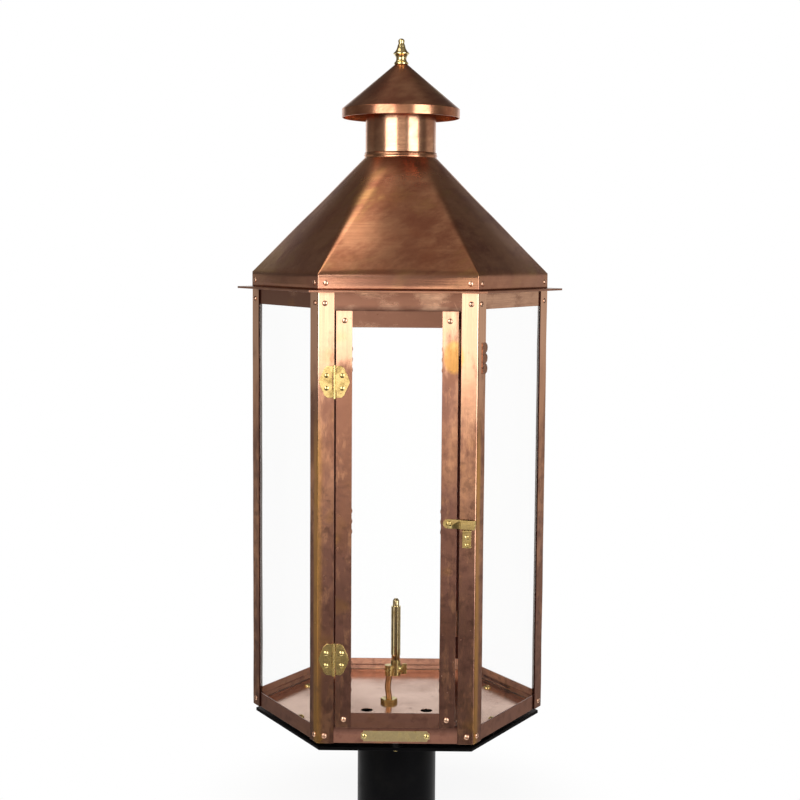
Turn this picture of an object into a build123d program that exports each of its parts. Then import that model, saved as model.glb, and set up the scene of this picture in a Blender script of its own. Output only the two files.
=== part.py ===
from build123d import *
import os
from math import asin, cos, pi, radians, sin, sqrt, tan

# Six-sided copper gas lantern that stands on a round post. Millimetres, +Z up.
# The origin is on the lantern's axis at the open mouth of the post fitter. The door faces -Y.
# A side is numbered 1 to 6 anticlockwise seen from above, and side 1 is the front.
# Depth is measured inwards from the outer face of a side.
# Hidden screws, rivets, the bracket, the union and the clips are sized as such a lantern has them.

os.makedirs("parts", exist_ok=True)

# Post fitter and mounting plate
POST_DIAMETER = 76.2
POST_CLEARANCE = 0.3
FITTER_WALL = 2.9
FITTER_LENGTH = 101.6
SET_SCREW_HEIGHT = 14.0
SET_SCREW_RADIUS = 3.0
SET_SCREW_ANGLES = (30, 150)
SET_SCREW_PROUD = 2.0
SET_SCREW_TIP_GAP = 0.2
SET_SCREW_SOCKET = 1.8
SET_SCREW_SOCKET_DEPTH = 2.5
PLATE_THICKNESS = 3.2
PLATE_SETBACK = 3.1
PLATE_HOLE_RADIUS = 20.0
SPACER_HEIGHT = 4.8
SPACER_RADIUS = 5.0

# Body frame
BODY_ACROSS_CORNERS = 304.8
BODY_HEIGHT = 438.6
FRAME_SHEET = 1.5
POST_FLANGE = 15.9
TOP_RAIL_HEIGHT = 15.7
TOP_RAIL_LEDGE = 12.0
BOTTOM_RAIL_HEIGHT = 14.8
BOTTOM_RAIL_LEDGE = 25.0
MITRE_GAP = 0.4
DOOR_STOP_LAP = 3.0
FLOOR_SHEET = 1.2
FLOOR_EDGE_GAP = 0.2
FLOOR_BOLT_DEPTH = 19.28
FLOOR_BOLT_RADIUS = 2.0
FLOOR_BOLT_HEAD = 4.2
FLOOR_BOLT_HEAD_HEIGHT = 2.6
FLOOR_BOLT_END = 2.0
AIR_HOLE_RADIUS = 6.1
AIR_HOLE_X = 31.0
AIR_HOLE_FORWARD = 30.0

# Screws
SCREW_RADIUS = 1.4
SCREW_HEAD_RADIUS = 2.7
SCREW_HEAD_HEIGHT = 1.4
SCREW_LENGTH = 5.5
SCREW_FIT = 0.1
SLOT_WIDTH = 0.7
SLOT_DEPTH = 0.6
FRAME_SCREW_INSET = 6.8
TOP_SCREW_DROP = 10.6
SKIRT_SCREW_INSET = 7.6
SKIRT_SCREW_RISE = 6.4
PLATE_SCREW_DEPTH = 9.5

# Glass
GLASS_THICKNESS = 2.4
GLASS_SEAT_GAP = 0.2
PANE_LAP = 5.7
PANE_TOP_GAP = 0.5
CLIP_HEIGHT = 30.0
CLIP_SHEET = 0.8
CLIP_REACH = 5.4
CLIP_FIT = 0.1
CLIP_TONGUES = 3
CLIP_TONGUE_ROOT = 1.5
EDGE_CLIP_WIDTH = 10.0
EDGE_CLIP_OVERHANG = 2.4
PANE_CLIP_RISE = 56.5
PANE_CLIP_DROP = 62.3
DOOR_CLIP_INSET = 46.5

# Door
DOOR_GAP_HINGE = 1.7
DOOR_GAP_LATCH = 2.7
DOOR_GAP_TOP = 1.7
DOOR_GAP_BOTTOM = 1.0
DOOR_STILE = 15.3
DOOR_RAIL_TOP = 15.8
DOOR_RAIL_BOTTOM = 14.7
DOOR_GLASS_LAP = 4.0
DOOR_TAB_GAP = 0.4
DOOR_TAB_ROOT = 6.0
DOOR_SCREW_INSET = 7.2
DOOR_SCREW_TO_OPENING = 6.4

# Hinges
HINGE_HEIGHT = 30.5
HINGE_HALF_WIDTH = 14.7
HINGE_END_WIDTH = 6.8
HINGE_SHOULDER = (9.8, 2.6)
HINGE_NOTCH = (10.7, 5.5)
HINGE_SHOULDER_LOW = (13.0, 9.75)
HINGE_SHEET = 1.0
KNUCKLE_RADIUS = 1.5
KNUCKLE_STANDOFF = 0.3
KNUCKLE_GAP = 0.3
HINGE_PIN_RADIUS = 0.8
HINGE_PIN_FIT = 0.05
HINGE_INSET = 67.8
HINGE_AXIS_OVERLAP = 0.1
HINGE_SCREW_X = 7.5
HINGE_SCREW_Z = 6.1
HINGE_SCREW_HEAD = 2.35
BRASS_HEAD_HEIGHT = 1.2
HINGE_SCREW_RADIUS = 1.0
HINGE_PIN_HEAD = 0.8
HINGE_LEAF_CLEARANCE = 0.5
BRASS_SCREW_LENGTH = 4.5

# Latch
LATCH_HEIGHT = 217.8
LATCH_PIVOT_INSET = 7.5
LATCH_WIDTH = 9.0
LATCH_SHEET = 1.5
LATCH_TAIL = 5.7
LATCH_BRIDGE_MARGIN = 1.9
LATCH_TIP_INSET = 0.4
LATCH_LIP_GAP = 0.2
LATCH_BRIDGE_RISE = 2.0
LATCH_STANDOFF = 0.3
LATCH_TILT = 3.0
PIVOT_RADIUS = 1.5
PIVOT_FIT = 0.06
PIVOT_HEAD_RADIUS = 2.6
PIVOT_HEAD_HEIGHT = 1.7
KEEPER_INSET = 8.85
KEEPER_WIDTH = 8.5
KEEPER_HEIGHT = 16.8
KEEPER_SHEET = 1.2
KEEPER_LIP = 1.0
KEEPER_REACH = 5.4
KEEPER_SCREW_DROPS = (6.6, 14.4)
KEEPER_SCREW_HEAD = 2.2

# Nameplate
NAMEPLATE_LENGTH = 67.0
NAMEPLATE_WIDTH = 10.5
NAMEPLATE_SHEET = 1.0
NAMEPLATE_SCALLOP = 2.4
NAMEPLATE_SCREW_X = 30.2
NAMEPLATE_SCREW_HEAD = 2.3

# Burner and gas way
BURNER_X = -1.7
BURNER_RADIUS = 5.0
BURNER_WALL = 1.0
BURNER_NECK_RADIUS = 4.5
VALVE_BOTTOM = 31.6
VALVE_TOP = 47.8
NECK_TOP = 54.2
BURNER_TOP = 106.0
TIP_RADIUS = 3.4
TIP_HEIGHT = 8.0
TIP_SPIGOT = 6.0
TIP_SHOULDER = 5.6
TIP_TOP_RADIUS = 2.0
TIP_SLOT = 0.8
TIP_SLOT_DEPTH = 4.0
PIPE_X = -8.5
PIPE_RADIUS = 3.2
PIPE_WALL = 0.8
PIPE_SOCKET = 5.5
PIPE_FIT = 0.05
ELBOW_RADIUS = 4.6
ELBOW_HEIGHT = 11.0
VALVE_ARM_RADIUS = 3.6
VALVE_ARM_HEIGHT = 38.5
KEY_BOSS_LENGTH = 1.5
KEY_STEM_RADIUS = 1.5
KEY_STEM_FIT = 0.05
KEY_STEM_DEPTH = 4.0
KEY_WING_LENGTH = 5.0
KEY_WING_SPAN = 11.0
KEY_WING_THICKNESS = 2.2
KEY_GAP = 0.3
KEY_ROOT = 0.5
UNION_RADIUS = 7.0
UNION_FLANGE = 9.0
UNION_NUT_HEIGHT = 4.0
INLET_TUBE_RADIUS = 4.76
INLET_FIT = 0.1
INLET_DEPTH = 7.0
UNION_MOUTH_RISE = 0.6

# Roof
DRIP_OVERHANG = 15.1
DRIP_THICKNESS = 2.0
DRIP_VENT_RADIUS = 45.0
DRIP_TAB_HEIGHT = 11.0
DRIP_TAB_WIDTH = 11.0
DRIP_TAB_ROOT = 0.5
DRIP_TAB_SHEET = 1.2
ROOF_SHEET = 1.0
ROOF_BEND_RADIUS = 1.6
SKIRT_SEAT_GAP = 0.2
SKIRT_HEIGHT = 14.9
SKIRT_SLIT = 0.6
SKIRT_SLIT_STOP = 2.5
HOOD_RISE = 115.6
HOOD_SIDE_SPREAD = 1.5
COLLAR_HEIGHT = 6.0
COLLAR_WALL = 0.8
COLLAR_STEP = 0.7
CHIMNEY_FIT = 0.1
CHIMNEY_RADIUS = 36.0
CHIMNEY_WALL = 0.8
CHIMNEY_LAP = 2.3
CHIMNEY_HEIGHT = 50.7

# Rain cap, its bracket and the finial
CAP_SHEET = 1.0
CAP_RADIUS = 60.2
CAP_RIM_HEIGHT = 9.0
CAP_TOP_RADIUS = 6.3
CAP_RIM_DROP = 15.5
CAP_CONE_RISE = 45.1
BRACKET_WIDTH = 12.0
BRACKET_SHEET = 1.5
BRACKET_LEG = 20.0
BRACKET_RISE = 11.5
BRACKET_WALL_GAP = 0.15
RIVET_RADIUS = 1.5
RIVET_HEAD = 2.6
RIVET_HEAD_HEIGHT = 1.2
RIVET_DROP = 5.0
ROD_RADIUS = 2.4
ROD_FIT = 0.1
ROD_END = 1.5
NUT_ACROSS_CORNERS = 9.2
NUT_HEIGHT = 3.2
FINIAL_HEIGHT = 26.0
FINIAL_BORE_DEPTH = 13.0
FINIAL_BASE_RADIUS = 7.3
FINIAL_BASE_HEIGHT = 1.6
FINIAL_WAIST_RADIUS = 5.3
FINIAL_WAIST_HEIGHT = 5.0
FINIAL_RING_RADIUS = 8.2
FINIAL_RING_LOW = 10.4
FINIAL_RING_HIGH = 11.3
FINIAL_STEM_RADIUS = 4.0
FINIAL_STEM_HEIGHT = 18.5
FINIAL_NECK_RADIUS = 2.95
FINIAL_NECK_HEIGHT = 21.0
FINIAL_KNOB_RADIUS = 3.4
FINIAL_KNOB_HEIGHT = 23.4
FINIAL_HOLLOW = 0.9

# How far a cutter runs past what it cuts
OVERRUN = 2.0

apothem = BODY_ACROSS_CORNERS / 2 * cos(pi / 6)
half_side = BODY_ACROSS_CORNERS / 4
plate_bottom = FITTER_LENGTH
plate_top = plate_bottom + PLATE_THICKNESS
body_bottom = plate_top + SPACER_HEIGHT
body_top = body_bottom + BODY_HEIGHT
rail_back = 2 * FRAME_SHEET
floor_bottom = body_bottom + FRAME_SHEET
floor_top = floor_bottom + FLOOR_SHEET
opening_half = half_side - POST_FLANGE
pane_half = opening_half + PANE_LAP
bolt_circle = apothem - FLOOR_BOLT_DEPTH
door_left = -opening_half + DOOR_GAP_HINGE
door_right = opening_half - DOOR_GAP_LATCH
door_bottom = body_bottom + BOTTOM_RAIL_HEIGHT + DOOR_GAP_BOTTOM
door_top = body_top - TOP_RAIL_HEIGHT - DOOR_GAP_TOP
drip_top = body_top + DRIP_THICKNESS
skirt_bottom = drip_top + SKIRT_SEAT_GAP
hood_fold = skirt_bottom + SKIRT_HEIGHT
hood_top = hood_fold + HOOD_RISE
collar_bore = CHIMNEY_RADIUS + CHIMNEY_FIT
collar_radius = collar_bore + COLLAR_WALL
all_sides = range(1, 7)


def save(node, *pieces):
    """Write one sub-part as parts/NODE.step."""
    solids = [solid for piece in pieces for solid in piece.solids()]
    export_step(solids[0] if len(solids) == 1 else Compound(solids), f"parts/{node}.step")


def turned(*outline):
    """Body of revolution about Z from its half section, given as (radius, height) corners."""
    return revolve(Plane.XZ * make_face(Polyline(*outline, close=True)), Axis.Z)


def rod(radius, low, high, x=0, y=0):
    """Upright round bar between two heights."""
    return Pos(x, y, low) * Cylinder(radius, high - low, align=(Align.CENTER, Align.CENTER, Align.MIN))


def bore(radius, low, high, x=0, y=0):
    """Cutter for an upright hole from one height to another."""
    return rod(radius, low - OVERRUN, high + OVERRUN, x, y)


def cross_rod(radius, start, end, z, y=0):
    """Round bar along X between two places on X."""
    return Pos(start, y, z) * Rot(0, 90, 0) * rod(radius, 0, end - start)


def block(x_range, y_range, z_range):
    """Box between two places on each axis."""
    size = [high - low for low, high in (x_range, y_range, z_range)]
    return Pos(x_range[0], y_range[0], z_range[0]) * Box(*size, align=(Align.MIN,) * 3)


def hexagon(across_corners, low, high):
    """Upright six-sided prism with flat sides to the front and the back."""
    return Pos(0, 0, low) * extrude(RegularPolygon(across_corners / 2, 6), high - low)


def on_front(t_range, depth_range, z_range):
    """Box on the front side, from its place along the side, its depth and its height."""
    return block(t_range, (depth_range[0] - apothem, depth_range[1] - apothem), z_range)


def on_side(number, shape):
    """Turn a shape that was made for the front side to another side."""
    return Rot(0, 0, 60 * (number - 1)) * shape


def half_length(depth):
    """Half the length of a side at a depth behind its face."""
    return (apothem - depth) * tan(pi / 6)


def mitred_strip(depth_from, depth_to, low, high):
    """Strip along the front side whose ends are cut to meet its neighbours."""
    outer = half_length(depth_from) - MITRE_GAP
    inner = half_length(depth_to) - MITRE_GAP
    corners = [
        (-outer, depth_from - apothem),
        (outer, depth_from - apothem),
        (inner, depth_to - apothem),
        (-inner, depth_to - apothem),
    ]
    return Pos(0, 0, low) * extrude(make_face(Polyline(*corners, close=True)), high - low)


def crown(radius, rim, top):
    """Arc of a ball's top, from a rim at a radius to the axis."""
    ball = (radius**2 + (top - rim) ** 2) / (2 * (top - rim))
    centre = top - ball
    half_angle = asin(radius / ball) / 2
    middle = (ball * sin(half_angle), centre + ball * cos(half_angle))
    return ThreePointArc((radius, rim), middle, (0, top))


def dome(radius, height):
    """Domed screw head with its flat side on the ground."""
    rim = height / 3
    outline = [
        Line((0, 0), (radius, 0)),
        Line((radius, 0), (radius, rim)),
        crown(radius, rim, height),
        Line((0, height), (0, 0)),
    ]
    return revolve(Plane.XZ * make_face(outline), Axis.Z)


def screw(head_radius, head_height, shank_radius, length, slot_angle=None):
    """Round-head screw along Z, its head above the ground and its shank below it."""
    body = dome(head_radius, head_height) + rod(shank_radius, -length, 0)
    if slot_angle is not None:
        slot = block(
            (-head_radius, head_radius),
            (-SLOT_WIDTH / 2, SLOT_WIDTH / 2),
            (head_height - SLOT_DEPTH, head_height + OVERRUN),
        )
        body -= Rot(0, 0, slot_angle) * slot
    return body


def face_screw(x, z, seat_depth, body):
    """Put a screw on the front side with its head's seat at a depth."""
    return Pos(x, seat_depth - apothem, z) * Rot(90, 0, 0) * body


def copper_screw(index, length=SCREW_LENGTH):
    """Slotted copper screw, left at whatever angle it came tight."""
    return screw(SCREW_HEAD_RADIUS, SCREW_HEAD_HEIGHT, SCREW_RADIUS, length, 37 * index % 180)


def face_hole(x, z, radius):
    """Cutter for a hole through whatever sheets lie on the front side."""
    return Pos(x, -apothem, z) * Rot(90, 0, 0) * Cylinder(radius, 8 * FRAME_SHEET)


# Where the frame's screws sit on the front side
screw_hole = SCREW_RADIUS + SCREW_FIT
bolt_hole = FLOOR_BOLT_RADIUS + SCREW_FIT
frame_screw_x = half_side - FRAME_SCREW_INSET
top_screw_z = body_top - TOP_SCREW_DROP
bottom_screw_z = body_bottom + BOTTOM_RAIL_HEIGHT / 2
frame_screw_places = [
    (x, z) for x in (-frame_screw_x, frame_screw_x) for z in (top_screw_z, bottom_screw_z)
]
skirt_screw_x = half_side - SKIRT_SCREW_INSET
skirt_screw_z = skirt_bottom + SKIRT_SCREW_RISE

# Hinge axis: just over the free edge of the left front post, proud of the face
hinge_x = HINGE_AXIS_OVERLAP - opening_half
hinge_depth = -KNUCKLE_RADIUS - KNUCKLE_STANDOFF
hinge_heights = (door_bottom + HINGE_INSET, door_top - HINGE_INSET)
hinge_screw_places = [
    (side * HINGE_SCREW_X, centre + up * HINGE_SCREW_Z)
    for side in (-1, 1)
    for centre in hinge_heights
    for up in (-1, 1)
]
brass_screw_hole = HINGE_SCREW_RADIUS + SCREW_FIT
nameplate_z = body_bottom + BOTTOM_RAIL_HEIGHT / 2

# Latch pivot on the door, and the keeper's lip just under the tilted arm
latch_x = door_right - LATCH_PIVOT_INSET
latch_z = body_bottom + LATCH_HEIGHT
keeper_centre = half_side - KEEPER_INSET
keeper_left = keeper_centre - KEEPER_WIDTH / 2
keeper_right = keeper_centre + KEEPER_WIDTH / 2
arm_drop = (keeper_right - latch_x) * tan(radians(LATCH_TILT))
arm_underside = latch_z - arm_drop - LATCH_WIDTH / 2 / cos(radians(LATCH_TILT))
keeper_lip_top = arm_underside - LATCH_LIP_GAP
keeper_shelf = keeper_lip_top - KEEPER_LIP
keeper_screw_places = [(keeper_centre, keeper_shelf - drop) for drop in KEEPER_SCREW_DROPS]


# Corner posts: strips bent to 120 degrees, one at each corner
def corner_post():
    """The post between side 1 and side 2, full height of the body."""
    along_side_2 = (sin(radians(30)), cos(radians(30)))
    inward_side_2 = (-cos(radians(30)), sin(radians(30)))
    corner = (half_side, -apothem)
    inner_corner = (half_length(FRAME_SHEET), FRAME_SHEET - apothem)
    far_outer = (corner[0] + POST_FLANGE * along_side_2[0], corner[1] + POST_FLANGE * along_side_2[1])
    far_inner = (
        far_outer[0] + FRAME_SHEET * inward_side_2[0],
        far_outer[1] + FRAME_SHEET * inward_side_2[1],
    )
    outline = [
        (half_side - POST_FLANGE, -apothem),
        corner,
        far_outer,
        far_inner,
        inner_corner,
        (half_side - POST_FLANGE, FRAME_SHEET - apothem),
    ]
    post = Pos(0, 0, body_bottom) * extrude(make_face(Polyline(*outline, close=True)), BODY_HEIGHT)
    for z in (top_screw_z, bottom_screw_z):
        post -= face_hole(frame_screw_x, z, screw_hole)
        post -= on_side(2, face_hole(-frame_screw_x, z, screw_hole))
    return post


for number in all_sides:
    post = on_side(number, corner_post())
    if number == 1:
        for x, z in keeper_screw_places:
            post -= face_hole(x, z, brass_screw_hole)
    if number == 6:
        for offset, z in hinge_screw_places:
            if offset < 0:
                post -= face_hole(hinge_x + offset, z, brass_screw_hole)
    save(f"corner_post_{number}", post)


# Rails: angle strips that run behind the posts' flanges and close the ring above and below
def top_rail(stop_lap):
    """Upper rail of the front side; its ledge carries the drip plate."""
    web = mitred_strip(FRAME_SHEET, rail_back, body_top - TOP_RAIL_HEIGHT - stop_lap, body_top)
    ledge = mitred_strip(FRAME_SHEET, FRAME_SHEET + TOP_RAIL_LEDGE, body_top - FRAME_SHEET, body_top)
    rail = web + ledge
    for x in (-frame_screw_x, frame_screw_x):
        rail -= face_hole(x, top_screw_z, screw_hole)
    return rail - bore(screw_hole, body_top - FRAME_SHEET, body_top, 0, PLATE_SCREW_DEPTH - apothem)


def bottom_rail(stop_lap):
    """Lower rail of the front side; its ledge carries the floor."""
    web = mitred_strip(FRAME_SHEET, rail_back, body_bottom, body_bottom + BOTTOM_RAIL_HEIGHT + stop_lap)
    ledge = mitred_strip(FRAME_SHEET, FRAME_SHEET + BOTTOM_RAIL_LEDGE, body_bottom, floor_bottom)
    rail = web + ledge
    for x in (-frame_screw_x, frame_screw_x):
        rail -= face_hole(x, bottom_screw_z, screw_hole)
    return rail - bore(bolt_hole, body_bottom, floor_bottom, 0, -bolt_circle)


for number in all_sides:
    stop_lap = DOOR_STOP_LAP if number == 1 else 0
    lower = bottom_rail(stop_lap)
    if number == 1:
        for x in (-NAMEPLATE_SCREW_X, NAMEPLATE_SCREW_X):
            lower -= face_hole(x, nameplate_z, brass_screw_hole)
    save(f"top_rail_{number}", on_side(number, top_rail(stop_lap)))
    save(f"bottom_rail_{number}", on_side(number, lower))

# Floor: a flat pan with two air holes in front, lying on the lower rails' ledges
pipe_hole = PIPE_RADIUS + PIPE_FIT
floor_corners = 2 * (apothem - rail_back - FLOOR_EDGE_GAP) / cos(pi / 6)
floor_pan = hexagon(floor_corners, floor_bottom, floor_top)
for x in (-AIR_HOLE_X, AIR_HOLE_X):
    floor_pan -= bore(AIR_HOLE_RADIUS, floor_bottom, floor_top, x, -AIR_HOLE_FORWARD)
floor_pan -= bore(pipe_hole, floor_bottom, floor_top, PIPE_X)
for number in all_sides:
    floor_pan -= on_side(number, bore(bolt_hole, floor_bottom, floor_top, 0, -bolt_circle))
save("floor_pan", floor_pan)

# Mounting plate and the tube that slips over the post
fitter_bore = POST_DIAMETER / 2 + POST_CLEARANCE
fitter_radius = fitter_bore + FITTER_WALL
plate_corners = BODY_ACROSS_CORNERS - 2 * PLATE_SETBACK
mounting_plate = hexagon(plate_corners, plate_bottom, plate_top)
mounting_plate -= bore(PLATE_HOLE_RADIUS, plate_bottom, plate_top)
for number in all_sides:
    mounting_plate -= on_side(number, bore(bolt_hole, plate_bottom, plate_top, 0, -bolt_circle))
save("mounting_plate", mounting_plate)

post_fitter = rod(fitter_radius, 0, FITTER_LENGTH) - bore(fitter_bore, 0, FITTER_LENGTH)
set_screw_hole = SET_SCREW_RADIUS + SCREW_FIT
set_screw_end = fitter_radius + SET_SCREW_PROUD
set_screws = []
for angle in SET_SCREW_ANGLES:
    turn = Rot(0, 0, angle)
    cutter = cross_rod(set_screw_hole, fitter_bore - OVERRUN, fitter_radius + OVERRUN, SET_SCREW_HEIGHT)
    post_fitter -= turn * cutter
    stud = cross_rod(SET_SCREW_RADIUS, fitter_bore + SET_SCREW_TIP_GAP, set_screw_end, SET_SCREW_HEIGHT)
    socket = extrude(RegularPolygon(SET_SCREW_SOCKET, 6), -SET_SCREW_SOCKET_DEPTH)
    stud -= Pos(set_screw_end, 0, SET_SCREW_HEIGHT) * Rot(0, 90, 0) * socket
    set_screws.append(turn * stud)
save("post_fitter", post_fitter)
save("set_screws", *set_screws)

# Floor bolts with their nuts, and the spacers that leave the air gap under the body
bolt_length = floor_top - plate_bottom + NUT_HEIGHT + FLOOR_BOLT_END
floor_bolt = screw(FLOOR_BOLT_HEAD, FLOOR_BOLT_HEAD_HEIGHT, FLOOR_BOLT_RADIUS, bolt_length, 30)
floor_bolt = Pos(0, -bolt_circle, floor_top) * floor_bolt
nut = extrude(RegularPolygon(NUT_ACROSS_CORNERS / 2, 6), NUT_HEIGHT)
bolt_nut = Pos(0, -bolt_circle, plate_bottom - NUT_HEIGHT) * (nut - bore(bolt_hole, 0, NUT_HEIGHT))
spacer = rod(SPACER_RADIUS, plate_top, body_bottom, 0, -bolt_circle)
spacer -= bore(bolt_hole, plate_top, body_bottom, 0, -bolt_circle)
bolt_set = [on_side(number, piece) for number in all_sides for piece in (floor_bolt, bolt_nut)]
save("floor_bolts", *bolt_set)
save("bolt_spacers", *[on_side(number, spacer) for number in all_sides])

# Fixed panes of the five other sides, standing on the floor behind the rails
pane_front = rail_back + GLASS_SEAT_GAP
pane_back = pane_front + GLASS_THICKNESS
pane = on_front(
    (-pane_half, pane_half),
    (pane_front, pane_back),
    (floor_top + GLASS_SEAT_GAP, body_top - FRAME_SHEET - PANE_TOP_GAP),
)
for number in range(2, 7):
    save(f"glass_pane_{number - 1}", on_side(number, pane))


def glass_clip(edge_x, side, seat_depth, glass_back, centre):
    """Bent strip soldered behind a flange; its lip grips the pane with rounded tongues."""
    low, high = centre - CLIP_HEIGHT / 2, centre + CLIP_HEIGHT / 2
    web_near = edge_x + side * CLIP_FIT
    web_far = web_near + side * CLIP_SHEET
    lip_front = glass_back + CLIP_FIT
    lip_back = lip_front + CLIP_SHEET
    tongue_radius = CLIP_HEIGHT / CLIP_TONGUES / 2
    tongue_centre = web_far - side * (CLIP_REACH - tongue_radius)
    clip = on_front(sorted((web_near, web_far)), (seat_depth, lip_back), (low, high))
    lip_depths = (lip_front, lip_back)
    root = tongue_centre - side * CLIP_TONGUE_ROOT
    clip += on_front(sorted((root, web_far)), lip_depths, (low, high))
    tongue = Rot(90, 0, 0) * rod(tongue_radius, 0, CLIP_SHEET)
    keep = on_front(sorted((tongue_centre - side * 2 * tongue_radius, web_far)), lip_depths, (low, high))
    for index in range(CLIP_TONGUES):
        z = low + tongue_radius * (2 * index + 1)
        clip += (Pos(tongue_centre, lip_back - apothem, z) * tongue) & keep
    return clip


def edge_clip(side, centre):
    """Flat strip soldered on the outside of a flange; its rounded tongues pass the free edge."""
    low, high = centre - CLIP_HEIGHT / 2, centre + CLIP_HEIGHT / 2
    tongue_radius = CLIP_HEIGHT / CLIP_TONGUES / 2
    tongue_centre = side * (opening_half + tongue_radius - EDGE_CLIP_OVERHANG)
    root = tongue_centre - side * CLIP_TONGUE_ROOT
    back = side * (opening_half + EDGE_CLIP_WIDTH - EDGE_CLIP_OVERHANG)
    clip = on_front(sorted((root, back)), (-CLIP_SHEET, 0), (low, high))
    tongue = Rot(90, 0, 0) * rod(tongue_radius, 0, CLIP_SHEET)
    for index in range(CLIP_TONGUES):
        z = low + tongue_radius * (2 * index + 1)
        clip += Pos(tongue_centre, -apothem, z) * tongue
    return clip


# The two widest corners have no clips, so the panes beside them are gripped at one end
clip_low, clip_high = body_bottom + PANE_CLIP_RISE, body_top - PANE_CLIP_DROP
pane_clips = [
    on_side(number, glass_clip(side * pane_half, side, FRAME_SHEET, pane_back, centre))
    for number, side in ((2, -1), (3, 1), (4, -1), (4, 1), (5, -1), (6, 1))
    for centre in (clip_low, clip_high)
]
save("pane_clips", *pane_clips, on_side(2, edge_clip(-1, clip_high)))

# Door: two full-height stiles and two rails, screwed through tabs at the corners
opening_left = door_left + DOOR_STILE
opening_right = door_right - DOOR_STILE
opening_low = door_bottom + DOOR_RAIL_BOTTOM
opening_high = door_top - DOOR_RAIL_TOP
door_glass_front = FRAME_SHEET + GLASS_SEAT_GAP
door_glass_back = door_glass_front + GLASS_THICKNESS
door_glass_left = opening_left - DOOR_GLASS_LAP
door_glass_right = opening_right + DOOR_GLASS_LAP
door_glass_low = opening_low - DOOR_GLASS_LAP
door_glass_high = opening_high + DOOR_GLASS_LAP
door_screw_zs = (opening_low - DOOR_SCREW_TO_OPENING, opening_high + DOOR_SCREW_TO_OPENING)
door_screw_places = [
    (x, z)
    for x in (opening_left - DOOR_SCREW_INSET, opening_right + DOOR_SCREW_INSET)
    for z in door_screw_zs
]
door_hinge_screws = [(hinge_x + offset, z) for offset, z in hinge_screw_places if offset > 0]
frame_hinge_screws = [(hinge_x + offset, z) for offset, z in hinge_screw_places if offset < 0]

stile_left = on_front((door_left, opening_left), (0, FRAME_SHEET), (door_bottom, door_top))
stile_right = on_front((opening_right, door_right), (0, FRAME_SHEET), (door_bottom, door_top))
for x, z in door_screw_places:
    stile_left -= face_hole(x, z, screw_hole)
    stile_right -= face_hole(x, z, screw_hole)
for x, z in door_hinge_screws:
    stile_left -= face_hole(x, z, brass_screw_hole)
stile_right -= face_hole(latch_x, latch_z, PIVOT_RADIUS + SCREW_FIT)
save("door_stile_left", stile_left)
save("door_stile_right", stile_right)


def door_rail(low, high, tab_low, tab_high):
    """Rail between the stiles, with a tab lapped behind each stile."""
    rail = on_front((opening_left, opening_right), (0, FRAME_SHEET), (low, high))
    tab_depths = (FRAME_SHEET, 2 * FRAME_SHEET)
    tab_z = (tab_low, tab_high)
    rail += on_front((door_left + DOOR_TAB_GAP, opening_left + DOOR_TAB_ROOT), tab_depths, tab_z)
    rail += on_front((opening_right - DOOR_TAB_ROOT, door_right - DOOR_TAB_GAP), tab_depths, tab_z)
    for x, z in door_screw_places:
        rail -= face_hole(x, z, screw_hole)
    return rail


rail_low_tab = (
    body_bottom + BOTTOM_RAIL_HEIGHT + DOOR_STOP_LAP + DOOR_TAB_GAP,
    door_glass_low - DOOR_TAB_GAP,
)
rail_high_tab = (
    door_glass_high + DOOR_TAB_GAP,
    body_top - TOP_RAIL_HEIGHT - DOOR_STOP_LAP - DOOR_TAB_GAP,
)
save("door_rail_bottom", door_rail(door_bottom, opening_low, *rail_low_tab))
save("door_rail_top", door_rail(opening_high, door_top, *rail_high_tab))
save(
    "door_screws",
    *[face_screw(x, z, 0, copper_screw(index)) for index, (x, z) in enumerate(door_screw_places)],
)
door_glass = on_front(
    (door_glass_left, door_glass_right),
    (door_glass_front, door_glass_back),
    (door_glass_low, door_glass_high),
)
save("door_glass", door_glass)
door_clips = [
    glass_clip(edge, side, FRAME_SHEET, door_glass_back, centre)
    for edge, side in ((door_glass_left, -1), (door_glass_right, 1))
    for centre in (door_bottom + DOOR_CLIP_INSET, (door_bottom + door_top) / 2, door_top - DOOR_CLIP_INSET)
]
save("door_clips", *door_clips)

# Hinges: cast brass butterfly leaves with a loose pin
middle_knuckle_half = (HINGE_HEIGHT - 2 * KNUCKLE_GAP) / 4


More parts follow.
